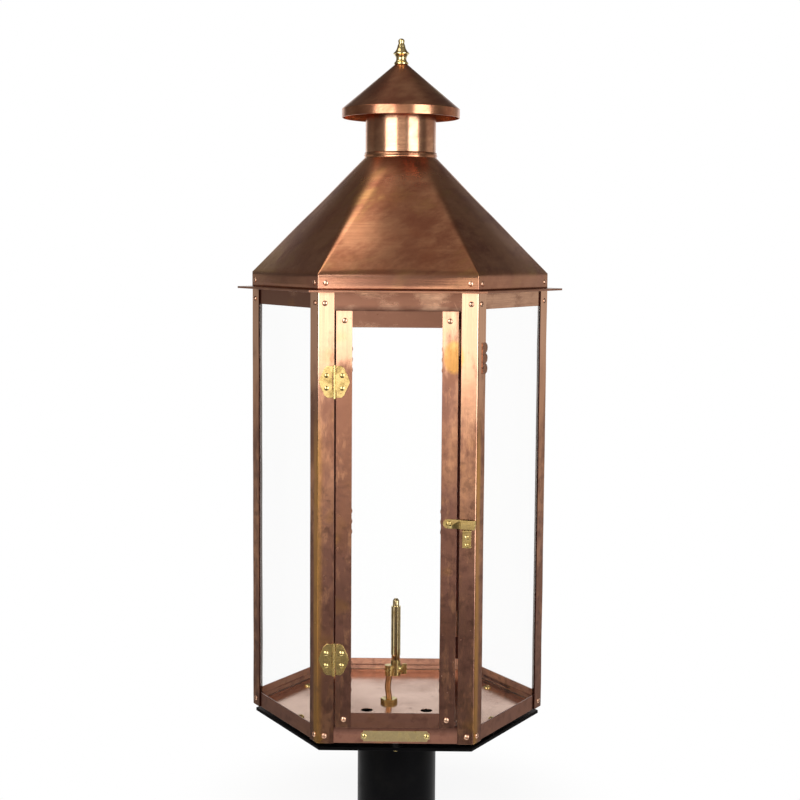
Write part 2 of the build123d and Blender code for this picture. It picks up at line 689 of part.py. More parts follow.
def hinge_leaf(centre, side):
    """One leaf: side -1 is screwed to the post, side 1 to the door and carries the middle knuckle."""
    half = HINGE_HEIGHT / 2
    middle = middle_knuckle_half
    shoulders = [(x, half - drop) for x, drop in (HINGE_SHOULDER, HINGE_NOTCH, HINGE_SHOULDER_LOW)]
    upper = [(0, half), (HINGE_END_WIDTH, half), *shoulders]
    lower = [(x, -z) for x, z in reversed(upper)]
    outline = [*upper, (HINGE_HALF_WIDTH, 0), *lower]
    leaf_face = make_face(Polyline(*[(side * x, z) for x, z in outline], close=True))
    leaf = Pos(hinge_x, -apothem, centre) * Rot(90, 0, 0) * extrude(leaf_face, HINGE_SHEET)
    barrel = rod(KNUCKLE_RADIUS, centre - half, centre + half, hinge_x, hinge_depth - apothem)
    near = KNUCKLE_RADIUS + HINGE_LEAF_CLEARANCE
    window = (hinge_x - near, hinge_x + near)
    depths = (hinge_depth - 2 * KNUCKLE_RADIUS, FRAME_SHEET)
    middle_zone = (centre - middle - KNUCKLE_GAP, centre + middle + KNUCKLE_GAP)
    if side < 0:
        knuckles = barrel - on_front(window, depths, middle_zone)
        leaf -= on_front(window, depths, middle_zone)
    else:
        own_zone = (centre - middle, centre + middle)
        knuckles = barrel & on_front(window, depths, own_zone)
        leaf -= on_front(window, depths, (centre - half, centre - middle))
        leaf -= on_front(window, depths, (centre + middle, centre + half))
    leaf += knuckles
    pin_hole = HINGE_PIN_RADIUS + HINGE_PIN_FIT
    leaf -= bore(pin_hole, centre - half, centre + half, hinge_x, hinge_depth - apothem)
    screw_x = hinge_x + side * HINGE_SCREW_X
    for up in (-1, 1):
        leaf -= face_hole(screw_x, centre + up * HINGE_SCREW_Z, brass_screw_hole)
    return leaf


hinge_pins = []
for place, centre in zip(("lower", "upper"), hinge_heights):
    save(f"hinge_frame_leaf_{place}", hinge_leaf(centre, -1))
    save(f"hinge_door_leaf_{place}", hinge_leaf(centre, 1))
    low, high = centre - HINGE_HEIGHT / 2, centre + HINGE_HEIGHT / 2
    pin = rod(HINGE_PIN_RADIUS, low, high, hinge_x, hinge_depth - apothem)
    for seat in (low - HINGE_PIN_HEAD, high):
        pin += rod(KNUCKLE_RADIUS, seat, seat + HINGE_PIN_HEAD, hinge_x, hinge_depth - apothem)
    hinge_pins.append(pin)
save("hinge_pins", *hinge_pins)

# Latch: a flat arm that turns on a shouldered screw and drops behind the lip of its keeper
def latch_arm():
    """Arm along X from its pivot; its bridge stands clear of the keeper's shelf."""
    half = LATCH_WIDTH / 2
    near, far = LATCH_STANDOFF, LATCH_STANDOFF + LATCH_SHEET
    tail = Pos(half - LATCH_TAIL, 0, 0) * Rot(90, 0, 0) * rod(half, near, far)
    bridge_start = keeper_left - LATCH_BRIDGE_MARGIN - latch_x
    bridge_end = keeper_right + LATCH_BRIDGE_MARGIN - latch_x
    tip = half_side - LATCH_TIP_INSET - latch_x

    def layer(x_range, low_level, high_level):
        return block(x_range, (-high_level, -low_level), (-half, half))

    rise = LATCH_BRIDGE_RISE
    arm = tail + layer((half - LATCH_TAIL, bridge_start + LATCH_SHEET), near, far)
    arm += layer((bridge_start, bridge_start + LATCH_SHEET), near, far + rise)
    arm += layer((bridge_start, bridge_end + LATCH_SHEET), near + rise, far + rise)
    arm += layer((bridge_end, bridge_end + LATCH_SHEET), near, far + rise)
    arm += layer((bridge_end, tip), near, far)
    arm -= Rot(90, 0, 0) * bore(PIVOT_RADIUS + PIVOT_FIT, near, far)
    return Pos(latch_x, -apothem, latch_z) * Rot(0, LATCH_TILT, 0) * arm


save("latch_arm", latch_arm())
pivot_seat = -(LATCH_STANDOFF + LATCH_SHEET + PIVOT_FIT)
pivot_screw = screw(PIVOT_HEAD_RADIUS, PIVOT_HEAD_HEIGHT, PIVOT_RADIUS, SCREW_LENGTH, 20)
latch_pivot = face_screw(latch_x, latch_z, pivot_seat, pivot_screw)

keeper_x = (keeper_left, keeper_right)
keeper = on_front(keeper_x, (-KEEPER_SHEET, 0), (keeper_shelf - KEEPER_HEIGHT, keeper_shelf))
keeper += on_front(keeper_x, (-KEEPER_REACH, 0), (keeper_shelf - KEEPER_SHEET, keeper_shelf))
lip_depths = (-KEEPER_REACH, KEEPER_SHEET - KEEPER_REACH)
keeper += on_front(keeper_x, lip_depths, (keeper_shelf - KEEPER_SHEET, keeper_lip_top))
for x, z in keeper_screw_places:
    keeper -= face_hole(x, z, brass_screw_hole)
save("latch_keeper", keeper)

# Nameplate, left bare, on the front lower rail
plate_outline = Rectangle(NAMEPLATE_LENGTH, NAMEPLATE_WIDTH)
for x in (-NAMEPLATE_LENGTH / 2, NAMEPLATE_LENGTH / 2):
    for z in (-NAMEPLATE_WIDTH / 2, NAMEPLATE_WIDTH / 2):
        plate_outline -= Pos(x, z) * Circle(NAMEPLATE_SCALLOP)
nameplate = Rot(90, 0, 0) * extrude(plate_outline, NAMEPLATE_SHEET)
nameplate = Pos(0, FRAME_SHEET - apothem, nameplate_z) * nameplate
for x in (-NAMEPLATE_SCREW_X, NAMEPLATE_SCREW_X):
    nameplate -= face_hole(x, nameplate_z, brass_screw_hole)
save("nameplate", nameplate)

# Brass screws, those of the frame and those that move with the door
def brass_screw(head_radius, slot_angle=None):
    """Small brass screw; those of the hinges have plain domed heads."""
    return screw(head_radius, BRASS_HEAD_HEIGHT, HINGE_SCREW_RADIUS, BRASS_SCREW_LENGTH, slot_angle)


hinge_screw = brass_screw(HINGE_SCREW_HEAD)
keeper_screw = brass_screw(KEEPER_SCREW_HEAD, 15)
nameplate_screw = brass_screw(NAMEPLATE_SCREW_HEAD, 60)
frame_brass = [face_screw(x, z, -HINGE_SHEET, hinge_screw) for x, z in frame_hinge_screws]
frame_brass += [face_screw(x, z, -KEEPER_SHEET, keeper_screw) for x, z in keeper_screw_places]
for x in (-NAMEPLATE_SCREW_X, NAMEPLATE_SCREW_X):
    frame_brass.append(face_screw(x, nameplate_z, FRAME_SHEET - NAMEPLATE_SHEET, nameplate_screw))
door_brass = [face_screw(x, z, -HINGE_SHEET, hinge_screw) for x, z in door_hinge_screws]
save("brass_screws_frame", *frame_brass)
save("brass_screws_door", latch_pivot, *door_brass)

# Gas way: union through the floor, pipe, valve with its key, burner tube and tip
pipe_top = body_bottom + VALVE_BOTTOM + PIPE_SOCKET
arm_z = body_bottom + VALVE_ARM_HEIGHT
valve_low, valve_high = body_bottom + VALVE_BOTTOM, body_bottom + VALVE_TOP
union_mouth = plate_bottom + UNION_MOUTH_RISE
inlet_radius = INLET_TUBE_RADIUS + INLET_FIT
union_fitting = rod(UNION_RADIUS, union_mouth, floor_bottom, PIPE_X)
union_fitting -= rod(inlet_radius, union_mouth - OVERRUN, union_mouth + INLET_DEPTH, PIPE_X)
union_fitting -= bore(pipe_hole, union_mouth, floor_bottom, PIPE_X)
union_nut = Pos(PIPE_X, 0, floor_top) * extrude(RegularPolygon(UNION_FLANGE, 6), UNION_NUT_HEIGHT)
union_nut -= bore(pipe_hole, floor_top, floor_top + UNION_NUT_HEIGHT, PIPE_X)
save("inlet_union", union_fitting, union_nut)

pipe_bore = PIPE_RADIUS - PIPE_WALL
supply_pipe = rod(PIPE_RADIUS, union_mouth + INLET_DEPTH, pipe_top, PIPE_X)
supply_pipe -= bore(pipe_bore, union_mouth + INLET_DEPTH, pipe_top, PIPE_X)
save("supply_pipe", supply_pipe)

key_tip = BURNER_X + BURNER_RADIUS + KEY_BOSS_LENGTH
valve = rod(BURNER_RADIUS, valve_low, valve_high, BURNER_X)
valve += rod(ELBOW_RADIUS, valve_low, valve_low + ELBOW_HEIGHT, PIPE_X)
valve += cross_rod(VALVE_ARM_RADIUS, PIPE_X, key_tip, arm_z)
valve -= rod(pipe_hole, valve_low - OVERRUN, pipe_top, PIPE_X)
valve -= cross_rod(KEY_STEM_RADIUS + KEY_STEM_FIT, key_tip - KEY_STEM_DEPTH, key_tip + OVERRUN, arm_z)
save("burner_valve", valve)

wing_start = key_tip + KEY_GAP
valve_key = cross_rod(KEY_STEM_RADIUS, key_tip - KEY_STEM_DEPTH + KEY_GAP, wing_start + KEY_ROOT, arm_z)
valve_key += block(
    (wing_start, wing_start + KEY_WING_LENGTH),
    (-KEY_WING_THICKNESS / 2, KEY_WING_THICKNESS / 2),
    (arm_z - KEY_WING_SPAN / 2, arm_z + KEY_WING_SPAN / 2),
)
save("valve_key", valve_key)

tube_low = valve_high
neck_high, tube_high = body_bottom + NECK_TOP, body_bottom + BURNER_TOP
burner_bore = BURNER_RADIUS - BURNER_WALL
tube = turned(
    (burner_bore, neck_high),
    (BURNER_NECK_RADIUS - BURNER_WALL, neck_high - BURNER_WALL),
    (BURNER_NECK_RADIUS - BURNER_WALL, tube_low),
    (BURNER_NECK_RADIUS, tube_low),
    (BURNER_NECK_RADIUS, neck_high - BURNER_WALL),
    (BURNER_RADIUS, neck_high),
    (BURNER_RADIUS, tube_high),
    (burner_bore, tube_high),
)
tip = turned(
    (0, tube_high - TIP_SPIGOT),
    (burner_bore, tube_high - TIP_SPIGOT),
    (burner_bore, tube_high),
    (TIP_RADIUS, tube_high),
    (TIP_RADIUS, tube_high + TIP_SHOULDER),
    (TIP_TOP_RADIUS, tube_high + TIP_HEIGHT),
    (0, tube_high + TIP_HEIGHT),
)
slot_z = (tube_high + TIP_HEIGHT - TIP_SLOT_DEPTH, tube_high + TIP_HEIGHT + OVERRUN)
tip -= block((-TIP_RADIUS, TIP_RADIUS), (-TIP_SLOT / 2, TIP_SLOT / 2), slot_z)
save("burner_tube", Pos(BURNER_X, 0, 0) * tube, Pos(BURNER_X, 0, 0) * tip)

# Drip plate: flat hexagon with a large vent and upturned tabs for the roof's screws
drip_corners = BODY_ACROSS_CORNERS + 2 * DRIP_OVERHANG
drip_plate = hexagon(drip_corners, body_top, drip_top) - bore(DRIP_VENT_RADIUS, body_top, drip_top)
tab_depths = (ROOF_SHEET, ROOF_SHEET + DRIP_TAB_SHEET)
tab_z = (drip_top - DRIP_TAB_ROOT, drip_top + DRIP_TAB_HEIGHT)
for number in all_sides:
    for x in (-skirt_screw_x, skirt_screw_x):
        tab = on_front((x - DRIP_TAB_WIDTH / 2, x + DRIP_TAB_WIDTH / 2), tab_depths, tab_z)
        drip_plate += on_side(number, tab - face_hole(x, skirt_screw_z, screw_hole))
    drip_plate -= on_side(number, bore(screw_hole, body_top, drip_top, 0, PLATE_SCREW_DEPTH - apothem))
save("drip_plate", drip_plate)


# Roof hood: one sheet, six-sided at the skirt and round at the collar
def hood_outline(inset, z):
    """Six-sided wire with rounded corners, its sides moved inwards by inset."""
    corner = BODY_ACROSS_CORNERS / 2 - inset / cos(pi / 6)
    bend = ROOF_BEND_RADIUS - inset
    back = bend * tan(pi / 6)
    bulge = corner - bend / cos(pi / 6) + bend
    edges = []
    for index in range(6):
        angle = pi / 3 * index
        here = Vector(corner * cos(angle), corner * sin(angle), z)
        before = Vector(corner * cos(angle - pi / 3), corner * sin(angle - pi / 3), z)
        after = Vector(corner * cos(angle + pi / 3), corner * sin(angle + pi / 3), z)
        start = here + (before - here).normalized() * back
        end = here + (after - here).normalized() * back
        middle = Vector(bulge * cos(angle), bulge * sin(angle), z)
        edges.append(ThreePointArc(start, middle, end))
        edges.append(Line(end, after + (here - after).normalized() * back))
    return Wire(edges)


def collar_outline(radius, z):
    """Circle cut into a long arc for each corner and a short one for each side."""
    edges = []
    for index in range(6):
        for middle, half in ((60 * index, 30 - HOOD_SIDE_SPREAD), (60 * index + 30, HOOD_SIDE_SPREAD)):
            points = [
                Vector(radius * cos(radians(angle)), radius * sin(radians(angle)), z)
                for angle in (middle - half, middle, middle + half)
            ]
            edges.append(ThreePointArc(*points))
    return Wire(edges)


def hood_form(inset, low, fold, top_radius, round_radius):
    """Skirt, slope and collar as one filled form."""
    skirt = Pos(0, 0, low) * extrude(make_face(hood_outline(inset, 0).edges()), fold - low)
    slope = Solid.make_loft([hood_outline(inset, fold), collar_outline(top_radius, hood_top)], ruled=True)
    return skirt + slope + rod(round_radius, hood_top, hood_top + COLLAR_HEIGHT)


slope_inset = ROOF_SHEET * sqrt(2)
inner_fold = hood_fold - (slope_inset - ROOF_SHEET)
hood_top_radius = collar_radius + COLLAR_STEP
hood_outer = hood_form(0, skirt_bottom, hood_fold, hood_top_radius, collar_radius)
inner_top_radius = hood_top_radius - slope_inset
hood_inner = hood_form(ROOF_SHEET, skirt_bottom - OVERRUN, inner_fold, inner_top_radius, collar_bore)
hood_inner += bore(collar_bore, hood_top, hood_top + COLLAR_HEIGHT)
roof_hood = hood_outer - hood_inner
for index in range(6):
    slit = block(
        (BODY_ACROSS_CORNERS / 2 - 2 * OVERRUN, BODY_ACROSS_CORNERS / 2 + OVERRUN),
        (-SKIRT_SLIT / 2, SKIRT_SLIT / 2),
        (skirt_bottom - OVERRUN, hood_fold - SKIRT_SLIT_STOP),
    )
    roof_hood -= Rot(0, 0, 60 * index) * slit
for number in all_sides:
    for x in (-skirt_screw_x, skirt_screw_x):
        roof_hood -= on_side(number, face_hole(x, skirt_screw_z, screw_hole))
save("roof_hood", roof_hood)

# Screws of the frame, the skirt and the drip plate
frame_screws = []
for number in all_sides:
    for index, (x, z) in enumerate(frame_screw_places):
        frame_screws.append(on_side(number, face_screw(x, z, 0, copper_screw(5 * number + index))))
    for side in (-1, 1):
        skirt_screw = face_screw(side * skirt_screw_x, skirt_screw_z, 0, copper_screw(3 * number + side))
        frame_screws.append(on_side(number, skirt_screw))
    plate_screw = Pos(0, PLATE_SCREW_DEPTH - apothem, drip_top) * copper_screw(number)
    frame_screws.append(on_side(number, plate_screw))
save("frame_screws", *frame_screws)

# Chimney, which slides down inside the collar
chimney_inside = CHIMNEY_RADIUS - CHIMNEY_WALL
chimney_low = hood_top - CHIMNEY_LAP
chimney_high = hood_top + COLLAR_HEIGHT + CHIMNEY_HEIGHT
chimney = rod(CHIMNEY_RADIUS, chimney_low, chimney_high) - bore(chimney_inside, chimney_low, chimney_high)

# Bracket across the chimney's mouth, riveted to its wall, with the rod that carries the cap
leg_half = BRACKET_WIDTH / 2
leg_outer = sqrt((chimney_inside - BRACKET_WALL_GAP) ** 2 - leg_half**2)
leg_low = chimney_high - BRACKET_LEG + BRACKET_RISE - BRACKET_SHEET
bridge_top = chimney_high + BRACKET_RISE
bracket = block((-leg_outer, leg_outer), (-leg_half, leg_half), (leg_low, bridge_top))
bracket -= block(
    (BRACKET_SHEET - leg_outer, leg_outer - BRACKET_SHEET),
    (-leg_half - OVERRUN, leg_half + OVERRUN),
    (leg_low - OVERRUN, bridge_top - BRACKET_SHEET),
)
bracket -= bore(ROD_RADIUS + ROD_FIT, bridge_top - BRACKET_SHEET, bridge_top)
rivet_z = chimney_high - RIVET_DROP
rivets = []
leg_inner = leg_outer - BRACKET_SHEET
head = dome(RIVET_HEAD, RIVET_HEAD_HEIGHT)
for angle in (0, 180):
    turn = Rot(0, 0, angle)
    rivet_hole = turn * cross_rod(RIVET_RADIUS, leg_inner - OVERRUN, CHIMNEY_RADIUS + OVERRUN, rivet_z)
    chimney -= rivet_hole
    bracket -= rivet_hole
    rivet = cross_rod(RIVET_RADIUS, leg_inner, CHIMNEY_RADIUS, rivet_z)
    rivet += Pos(CHIMNEY_RADIUS, 0, rivet_z) * Rot(0, 90, 0) * head
    rivet += Pos(leg_inner, 0, rivet_z) * Rot(0, -90, 0) * head
    rivets.append(turn * rivet)
save("chimney_tube", chimney)
save("cap_bracket", bracket, *rivets)

# Rain cap: a cone of sheet with an upright rim
cap_rim_low = chimney_high - CAP_RIM_DROP
cap_rim_high = cap_rim_low + CAP_RIM_HEIGHT
cap_top = cap_rim_high + CAP_CONE_RISE
cap_slope = CAP_CONE_RISE / (CAP_RADIUS - CAP_TOP_RADIUS)
slope_drop = CAP_SHEET * sqrt(1 + cap_slope**2)
flat_inner = CAP_TOP_RADIUS - (slope_drop - CAP_SHEET) / cap_slope
rain_cap = turned(
    (ROD_RADIUS + ROD_FIT, cap_top),
    (CAP_TOP_RADIUS, cap_top),
    (CAP_RADIUS, cap_rim_high),
    (CAP_RADIUS, cap_rim_low),
    (CAP_RADIUS - CAP_SHEET, cap_rim_low),
    (CAP_RADIUS - CAP_SHEET, cap_rim_high + CAP_SHEET * cap_slope - slope_drop),
    (flat_inner, cap_top - CAP_SHEET),
    (ROD_RADIUS + ROD_FIT, cap_top - CAP_SHEET),
)
save("rain_cap", rain_cap)

rod_low = bridge_top - BRACKET_SHEET - NUT_HEIGHT - ROD_END
rod_high = cap_top + FINIAL_BORE_DEPTH - ROD_END
cap_rod = rod(ROD_RADIUS, rod_low, rod_high)
rod_nut = nut - bore(ROD_RADIUS, 0, NUT_HEIGHT)
nut_seats = (bridge_top - BRACKET_SHEET - NUT_HEIGHT, bridge_top, cap_top - CAP_SHEET - NUT_HEIGHT)
save("cap_rod", cap_rod, *[Pos(0, 0, seat) * rod_nut for seat in nut_seats])

# Finial: turned brass, drilled and tapped from below
finial_base = (FINIAL_BASE_RADIUS, FINIAL_BASE_HEIGHT)
finial_waist = (FINIAL_WAIST_RADIUS, FINIAL_WAIST_HEIGHT)
finial_ring_low = (FINIAL_RING_RADIUS, FINIAL_RING_LOW)
finial_ring_high = (FINIAL_RING_RADIUS, FINIAL_RING_HIGH)
finial_stem = (FINIAL_STEM_RADIUS, FINIAL_STEM_HEIGHT)
finial_neck = (FINIAL_NECK_RADIUS, FINIAL_NECK_HEIGHT)
finial_knob = (FINIAL_KNOB_RADIUS, FINIAL_KNOB_HEIGHT)
finial_outline = [
    Line((0, 0), (FINIAL_BASE_RADIUS, 0)),
    Line((FINIAL_BASE_RADIUS, 0), finial_base),
    SagittaArc(finial_base, finial_waist, FINIAL_HOLLOW / 2),
    SagittaArc(finial_waist, finial_ring_low, FINIAL_HOLLOW),
    Line(finial_ring_low, finial_ring_high),
    SagittaArc(finial_ring_high, finial_stem, FINIAL_HOLLOW),
    Line(finial_stem, finial_neck),
    Line(finial_neck, finial_knob),
    crown(*finial_knob, FINIAL_HEIGHT),
    Line((0, FINIAL_HEIGHT), (0, 0)),
]
finial = revolve(Plane.XZ * make_face(finial_outline), Axis.Z)
finial -= rod(ROD_RADIUS + ROD_FIT, -OVERRUN, FINIAL_BORE_DEPTH)
save("finial", Pos(0, 0, cap_top) * finial)
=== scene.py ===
import math

import bmesh
import bpy
from mathutils import Matrix, Vector, noise


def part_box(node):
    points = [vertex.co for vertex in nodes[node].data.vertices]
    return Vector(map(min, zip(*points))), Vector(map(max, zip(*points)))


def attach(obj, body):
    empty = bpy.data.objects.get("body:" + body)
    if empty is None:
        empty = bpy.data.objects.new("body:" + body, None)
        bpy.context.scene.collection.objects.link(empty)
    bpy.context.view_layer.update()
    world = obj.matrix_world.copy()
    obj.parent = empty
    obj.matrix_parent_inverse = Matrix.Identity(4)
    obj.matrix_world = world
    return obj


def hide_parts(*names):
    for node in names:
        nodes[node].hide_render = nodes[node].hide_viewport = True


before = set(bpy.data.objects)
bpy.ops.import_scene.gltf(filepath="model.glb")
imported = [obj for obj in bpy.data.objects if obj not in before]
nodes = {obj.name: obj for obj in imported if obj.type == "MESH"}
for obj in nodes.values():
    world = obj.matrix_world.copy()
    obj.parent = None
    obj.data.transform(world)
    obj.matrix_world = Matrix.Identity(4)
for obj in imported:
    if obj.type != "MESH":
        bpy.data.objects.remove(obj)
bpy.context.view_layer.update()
scene = bpy.context.scene
mm = 0.001

# Camera. The photograph is taken 1.59 m in front of the lantern, level with the foot of its
# roof. The view looks a little down and leans slightly, so the lantern leans clockwise in it.
CAMERA_PLACE = Vector((17.35, -1590.1, 588.16)) * mm
CAMERA_DOWN = 5.562
CAMERA_ASIDE = 0.588
CAMERA_LEAN = 0.390
CAMERA_LENS = 69.21


def turn(degrees, axis):
    """Rotation about one axis through the origin."""
    return Matrix.Rotation(math.radians(degrees), 4, axis)


lens = bpy.data.cameras.new("camera")
lens.lens = CAMERA_LENS
camera = bpy.data.objects.new("camera", lens)
camera.matrix_world = (
    Matrix.Translation(CAMERA_PLACE)
    @ turn(CAMERA_ASIDE, "Z")
    @ turn(90 - CAMERA_DOWN, "X")
    @ turn(CAMERA_LEAN, "Z")
)
scene.collection.objects.link(camera)
scene.camera = camera


# Post fitter. A length of steel tube, welded under the plate, that slips over the post.
# It is painted satin black, and its mouth is sawn square with the edges just broken.
JOINED_WITHIN = 0.001 * mm
FLAT_WITHIN = math.radians(0.6)
PAINT_BLACK = (0.002, 0.002, 0.0025)
PAINT_DUSTY = (0.007, 0.0065, 0.006)
PAINT_GLOSS = 0.045


class Link:
    """A socket in a node tree. Arithmetic on it adds Math nodes, node() adds any other."""

    def __init__(self, tree, socket=None):
        self.tree = tree
        self.socket = socket

    def node(self, kind, settings=None, values=None, output=0):
        """Add a node: its settings first, then its values or links, then give one output.

        Links in a list all go into the one socket.
        """
        added = self.tree.nodes.new(kind)
        for name, setting in (settings or {}).items():
            setattr(added, name, setting)
        for name, value in (values or {}).items():
            for part in value if isinstance(value, list) else [value]:
                if isinstance(part, Link):
                    self.tree.links.new(part.socket, added.inputs[name])
                else:
                    added.inputs[name].default_value = part
        return Link(self.tree, added.outputs[output]) if added.outputs else None

    def maths(self, operation, *values):
        return self.node("ShaderNodeMath", {"operation": operation}, dict(enumerate(values)))

    def __add__(self, other):
        return self.maths("ADD", self, other)

    __radd__ = __add__

    def __sub__(self, other):
        return self.maths("SUBTRACT", self, other)

    def __rsub__(self, other):
        return self.maths("SUBTRACT", other, self)

    def __mul__(self, other):
        return self.maths("MULTIPLY", self, other)

    __rmul__ = __mul__

    def __pow__(self, other):
        return self.maths("POWER", self, other)

    def __abs__(self):
        return self.maths("ABSOLUTE", self)

    def step(self, low, high):
        """0 below low and 1 above high, with a smooth rise between, or the reverse."""
        values = {"Value": self, "From Min": low, "From Max": high}
        return self.node("ShaderNodeMapRange", {"interpolation_type": "SMOOTHSTEP"}, values)

    def between(self, start, end):
        """A colour that goes from start to end as this value goes from 0 to 1."""
        values = {0: self, 6: rgba(start), 7: rgba(end)}
        return self.node("ShaderNodeMix", {"data_type": "RGBA"}, values, 2)

    def stretched(self, x, y, z, tilt=0):
        """These coordinates scaled along each axis, after a turn about Y in degrees."""
        turned_by = {"Vector": self, "Rotation": (0, math.radians(tilt), 0)}
        leaning = self.node("ShaderNodeMapping", {}, turned_by) if tilt else self
        return self.node("ShaderNodeMapping", {}, {"Vector": leaning, "Scale": (x, y, z)})

    def cloud(self, size, shift=0, detail=3, sharpness=0.55):
        """Soft random patches of about one size in metres, between 0 and 1."""
        values = {"Vector": self, "Scale": 1 / size, "Detail": detail, "Roughness": sharpness}
        values["W"] = shift
        return self.node("ShaderNodeTexNoise", {"noise_dimensions": "4D"}, values)


def rgba(colour):
    """A colour for a socket, from three numbers or from another socket."""
    return colour if isinstance(colour, Link) else (*colour, 1)


def new_finish(name):
    """A new material, its shader, and the coordinates of the piece that wears it."""
    material = bpy.data.materials.new(name)
    material.use_nodes = True
    shader = material.node_tree.nodes["Principled BSDF"]
    return material, shader, Link(material.node_tree).node("ShaderNodeTexCoord", output="Object")


def feed(shader, **sockets):
    """Give a shader's sockets their numbers, colours or links. Underscores stand for spaces."""
    for name, value in sockets.items():
        socket = shader.inputs[name.replace("_", " ")]
        if isinstance(value, Link):
            value.tree.links.new(value.socket, socket)
        else:
            socket.default_value = value


def relief(height, depth):
    """A normal from a height of 0 to 1 that stands for a depth in metres."""
    return height.node("ShaderNodeBump", {}, {"Height": height, "Distance": depth})


def black_paint():
    """Satin black paint: faint orange peel, dust that has settled, a few rubbed marks."""
    material, shader, place = new_finish("black_paint")
    dust = place.cloud(0.035, 1.0, 5, 0.65).step(0.45, 0.8)
    peel = place.cloud(0.0022, 2.0, 2)
    rubbed = place.stretched(1, 1, 0.15).cloud(0.006, 3.0, 4, 0.7).step(0.66, 0.78)
    feed(
        shader,
        Base_Color=(dust * 0.7 + rubbed * 0.3).between(PAINT_BLACK, PAINT_DUSTY),
        Roughness=0.34 + dust * 0.16 - rubbed * 0.06,
        Specular_IOR_Level=PAINT_GLOSS,
        Normal=relief(peel, 0.05 * mm),
    )
    return material


def settled(piece):
    """The piece with its modifiers worked into its mesh."""
    evaluated = piece.evaluated_get(bpy.context.evaluated_depsgraph_get())
    mesh = bpy.data.meshes.new_from_object(evaluated)
    piece.modifiers.clear()
    piece.data = mesh
    mesh.name = piece.name
    return piece


def shown(name, form, material, sharp=50):
    """A finished piece from a form, smooth but for its sharp edges, at the origin."""
    mesh = bpy.data.meshes.new(name)
    form.to_mesh(mesh)
    form.free()
    mesh.shade_smooth()
    mesh.set_sharp_from_angle(angle=math.radians(sharp))
    mesh.materials.append(material)
    piece = bpy.data.objects.new(name, mesh)
    scene.collection.objects.link(piece)
    weigh = piece.modifiers.new("weigh", "WEIGHTED_NORMAL")
    weigh.keep_sharp = True
    return settled(piece)


def merged(node):
    """A CAD piece as one form, with its loose triangles joined."""
    form = bmesh.new()
    form.from_mesh(nodes[node].data)
    bmesh.ops.remove_doubles(form, verts=form.verts, dist=JOINED_WITHIN)
    return form


def flattened(node):
    """A CAD piece as one form, with each flat face whole."""
    form = merged(node)
    bmesh.ops.dissolve_limit(form, angle_limit=FLAT_WITHIN, verts=form.verts, edges=form.edges)
    return form


def bevelled(form, edges, radius, segments=2):
    """Round some edges of a form."""
    bmesh.ops.bevel(
        form, geom=edges, offset=radius, offset_type="OFFSET", segments=segments, profile=0.5,
        affect="EDGES", clamp_overlap=False,
    )
    return form


def eased(form, edge, shortest=1.2 * mm, sharpest=25):
    """Ease the sharp edges of a form by a small radius.

    Edges shorter than the shortest belong to small holes and stay as they are.
    """
    corners = [
        e
        for e in form.edges
        if len(e.link_faces) == 2
        and e.calc_length() > shortest
        and e.calc_face_angle() > math.radians(sharpest)
    ]
    return bevelled(form, corners, edge)


def fitted(piece, node, body="lantern"):
    """Put a piece in its CAD node's place, on the body that carries it."""
    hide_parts(node)
    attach(piece, body)


def dressed(name, node, finish, edge, shortest=1.2 * mm, body="lantern", sharp=50):
    """A CAD piece with its edges eased and its finish on, in its node's place."""
    fitted(shown(name, eased(flattened(node), edge, shortest), finish, sharp), node, body)


black = black_paint()
dressed("fitter_tube", "post_fitter", black, edge=0.5 * mm, shortest=1.0 * mm)


# Set screws. Two socket set screws at the back of the fitter that grip the post.
# Plated steel, turned down by hand with a hex key.
STEEL_LIGHT = (0.50, 0.49, 0.47)
STEEL_DULL = (0.30, 0.29, 0.28)


def plated_steel():
    """Zinc plated steel, gone a little dull in clouds."""
    material, shader, place = new_finish("plated_steel")
    dull = place.cloud(0.004, 4.0).step(0.35, 0.7)
    feed(
        shader,
        Base_Color=dull.between(STEEL_LIGHT, STEEL_DULL),
        Metallic=1.0,
        Roughness=0.28 + dull * 0.2,
        Normal=relief(place.cloud(0.0012, 5.0), 0.02 * mm),
    )
    return material


steel = plated_steel()
dressed("socket_set_screws", "set_screws", steel, edge=0.25 * mm, shortest=0.3 * mm)


# Mounting plate. A six-sided steel plate, welded to the fitter and painted with it,
# that carries the whole lantern on six bolts.
dressed("plate_under_body", "mounting_plate", black, edge=0.4 * mm)


# Spacers. Six short tubes of plated steel, one round each floor bolt, sawn to one length.
# They hold the body off the plate, so that the flame gets its air through the gap.
dressed("spacer_tubes", "bolt_spacers", steel, edge=0.3 * mm, shortest=0.3 * mm)


# Floor. A flat pan of bright copper sheet with two drilled air holes, laid on the lower
# rails. It is the least weathered copper of the lantern and shines like a dull mirror.
FLOOR_PINK = (0.76, 0.50, 0.38)
FLOOR_ROSE = (0.56, 0.32, 0.22)
SHEET_EDGE = 0.2 * mm


def floor_copper():
    """Clean rolled sheet: long rolling lines, faint clouds and a few dull spots."""
    material, shader, place = new_finish("floor_copper")
    clouds = place.cloud(0.05, 6.0, 4, 0.6).step(0.35, 0.75)
    lines = place.stretched(0.03, 1, 1).cloud(0.0018, 7.0, 3)
    spots = place.cloud(0.006, 8.0, 2).step(0.64, 0.74)
    feed(
        shader,
        Base_Color=(clouds * 0.6 + spots * 0.4).between(FLOOR_PINK, FLOOR_ROSE),
        Metallic=1.0,
        Roughness=0.16 + clouds * 0.08 + spots * 0.1,
        Normal=relief(lines * 0.3 + place.cloud(0.07, 9.0), 0.12 * mm),
    )
    return material


bright_copper = floor_copper()
dressed("floor_sheet", "floor_pan", bright_copper, edge=SHEET_EDGE, shortest=0.9 * mm)


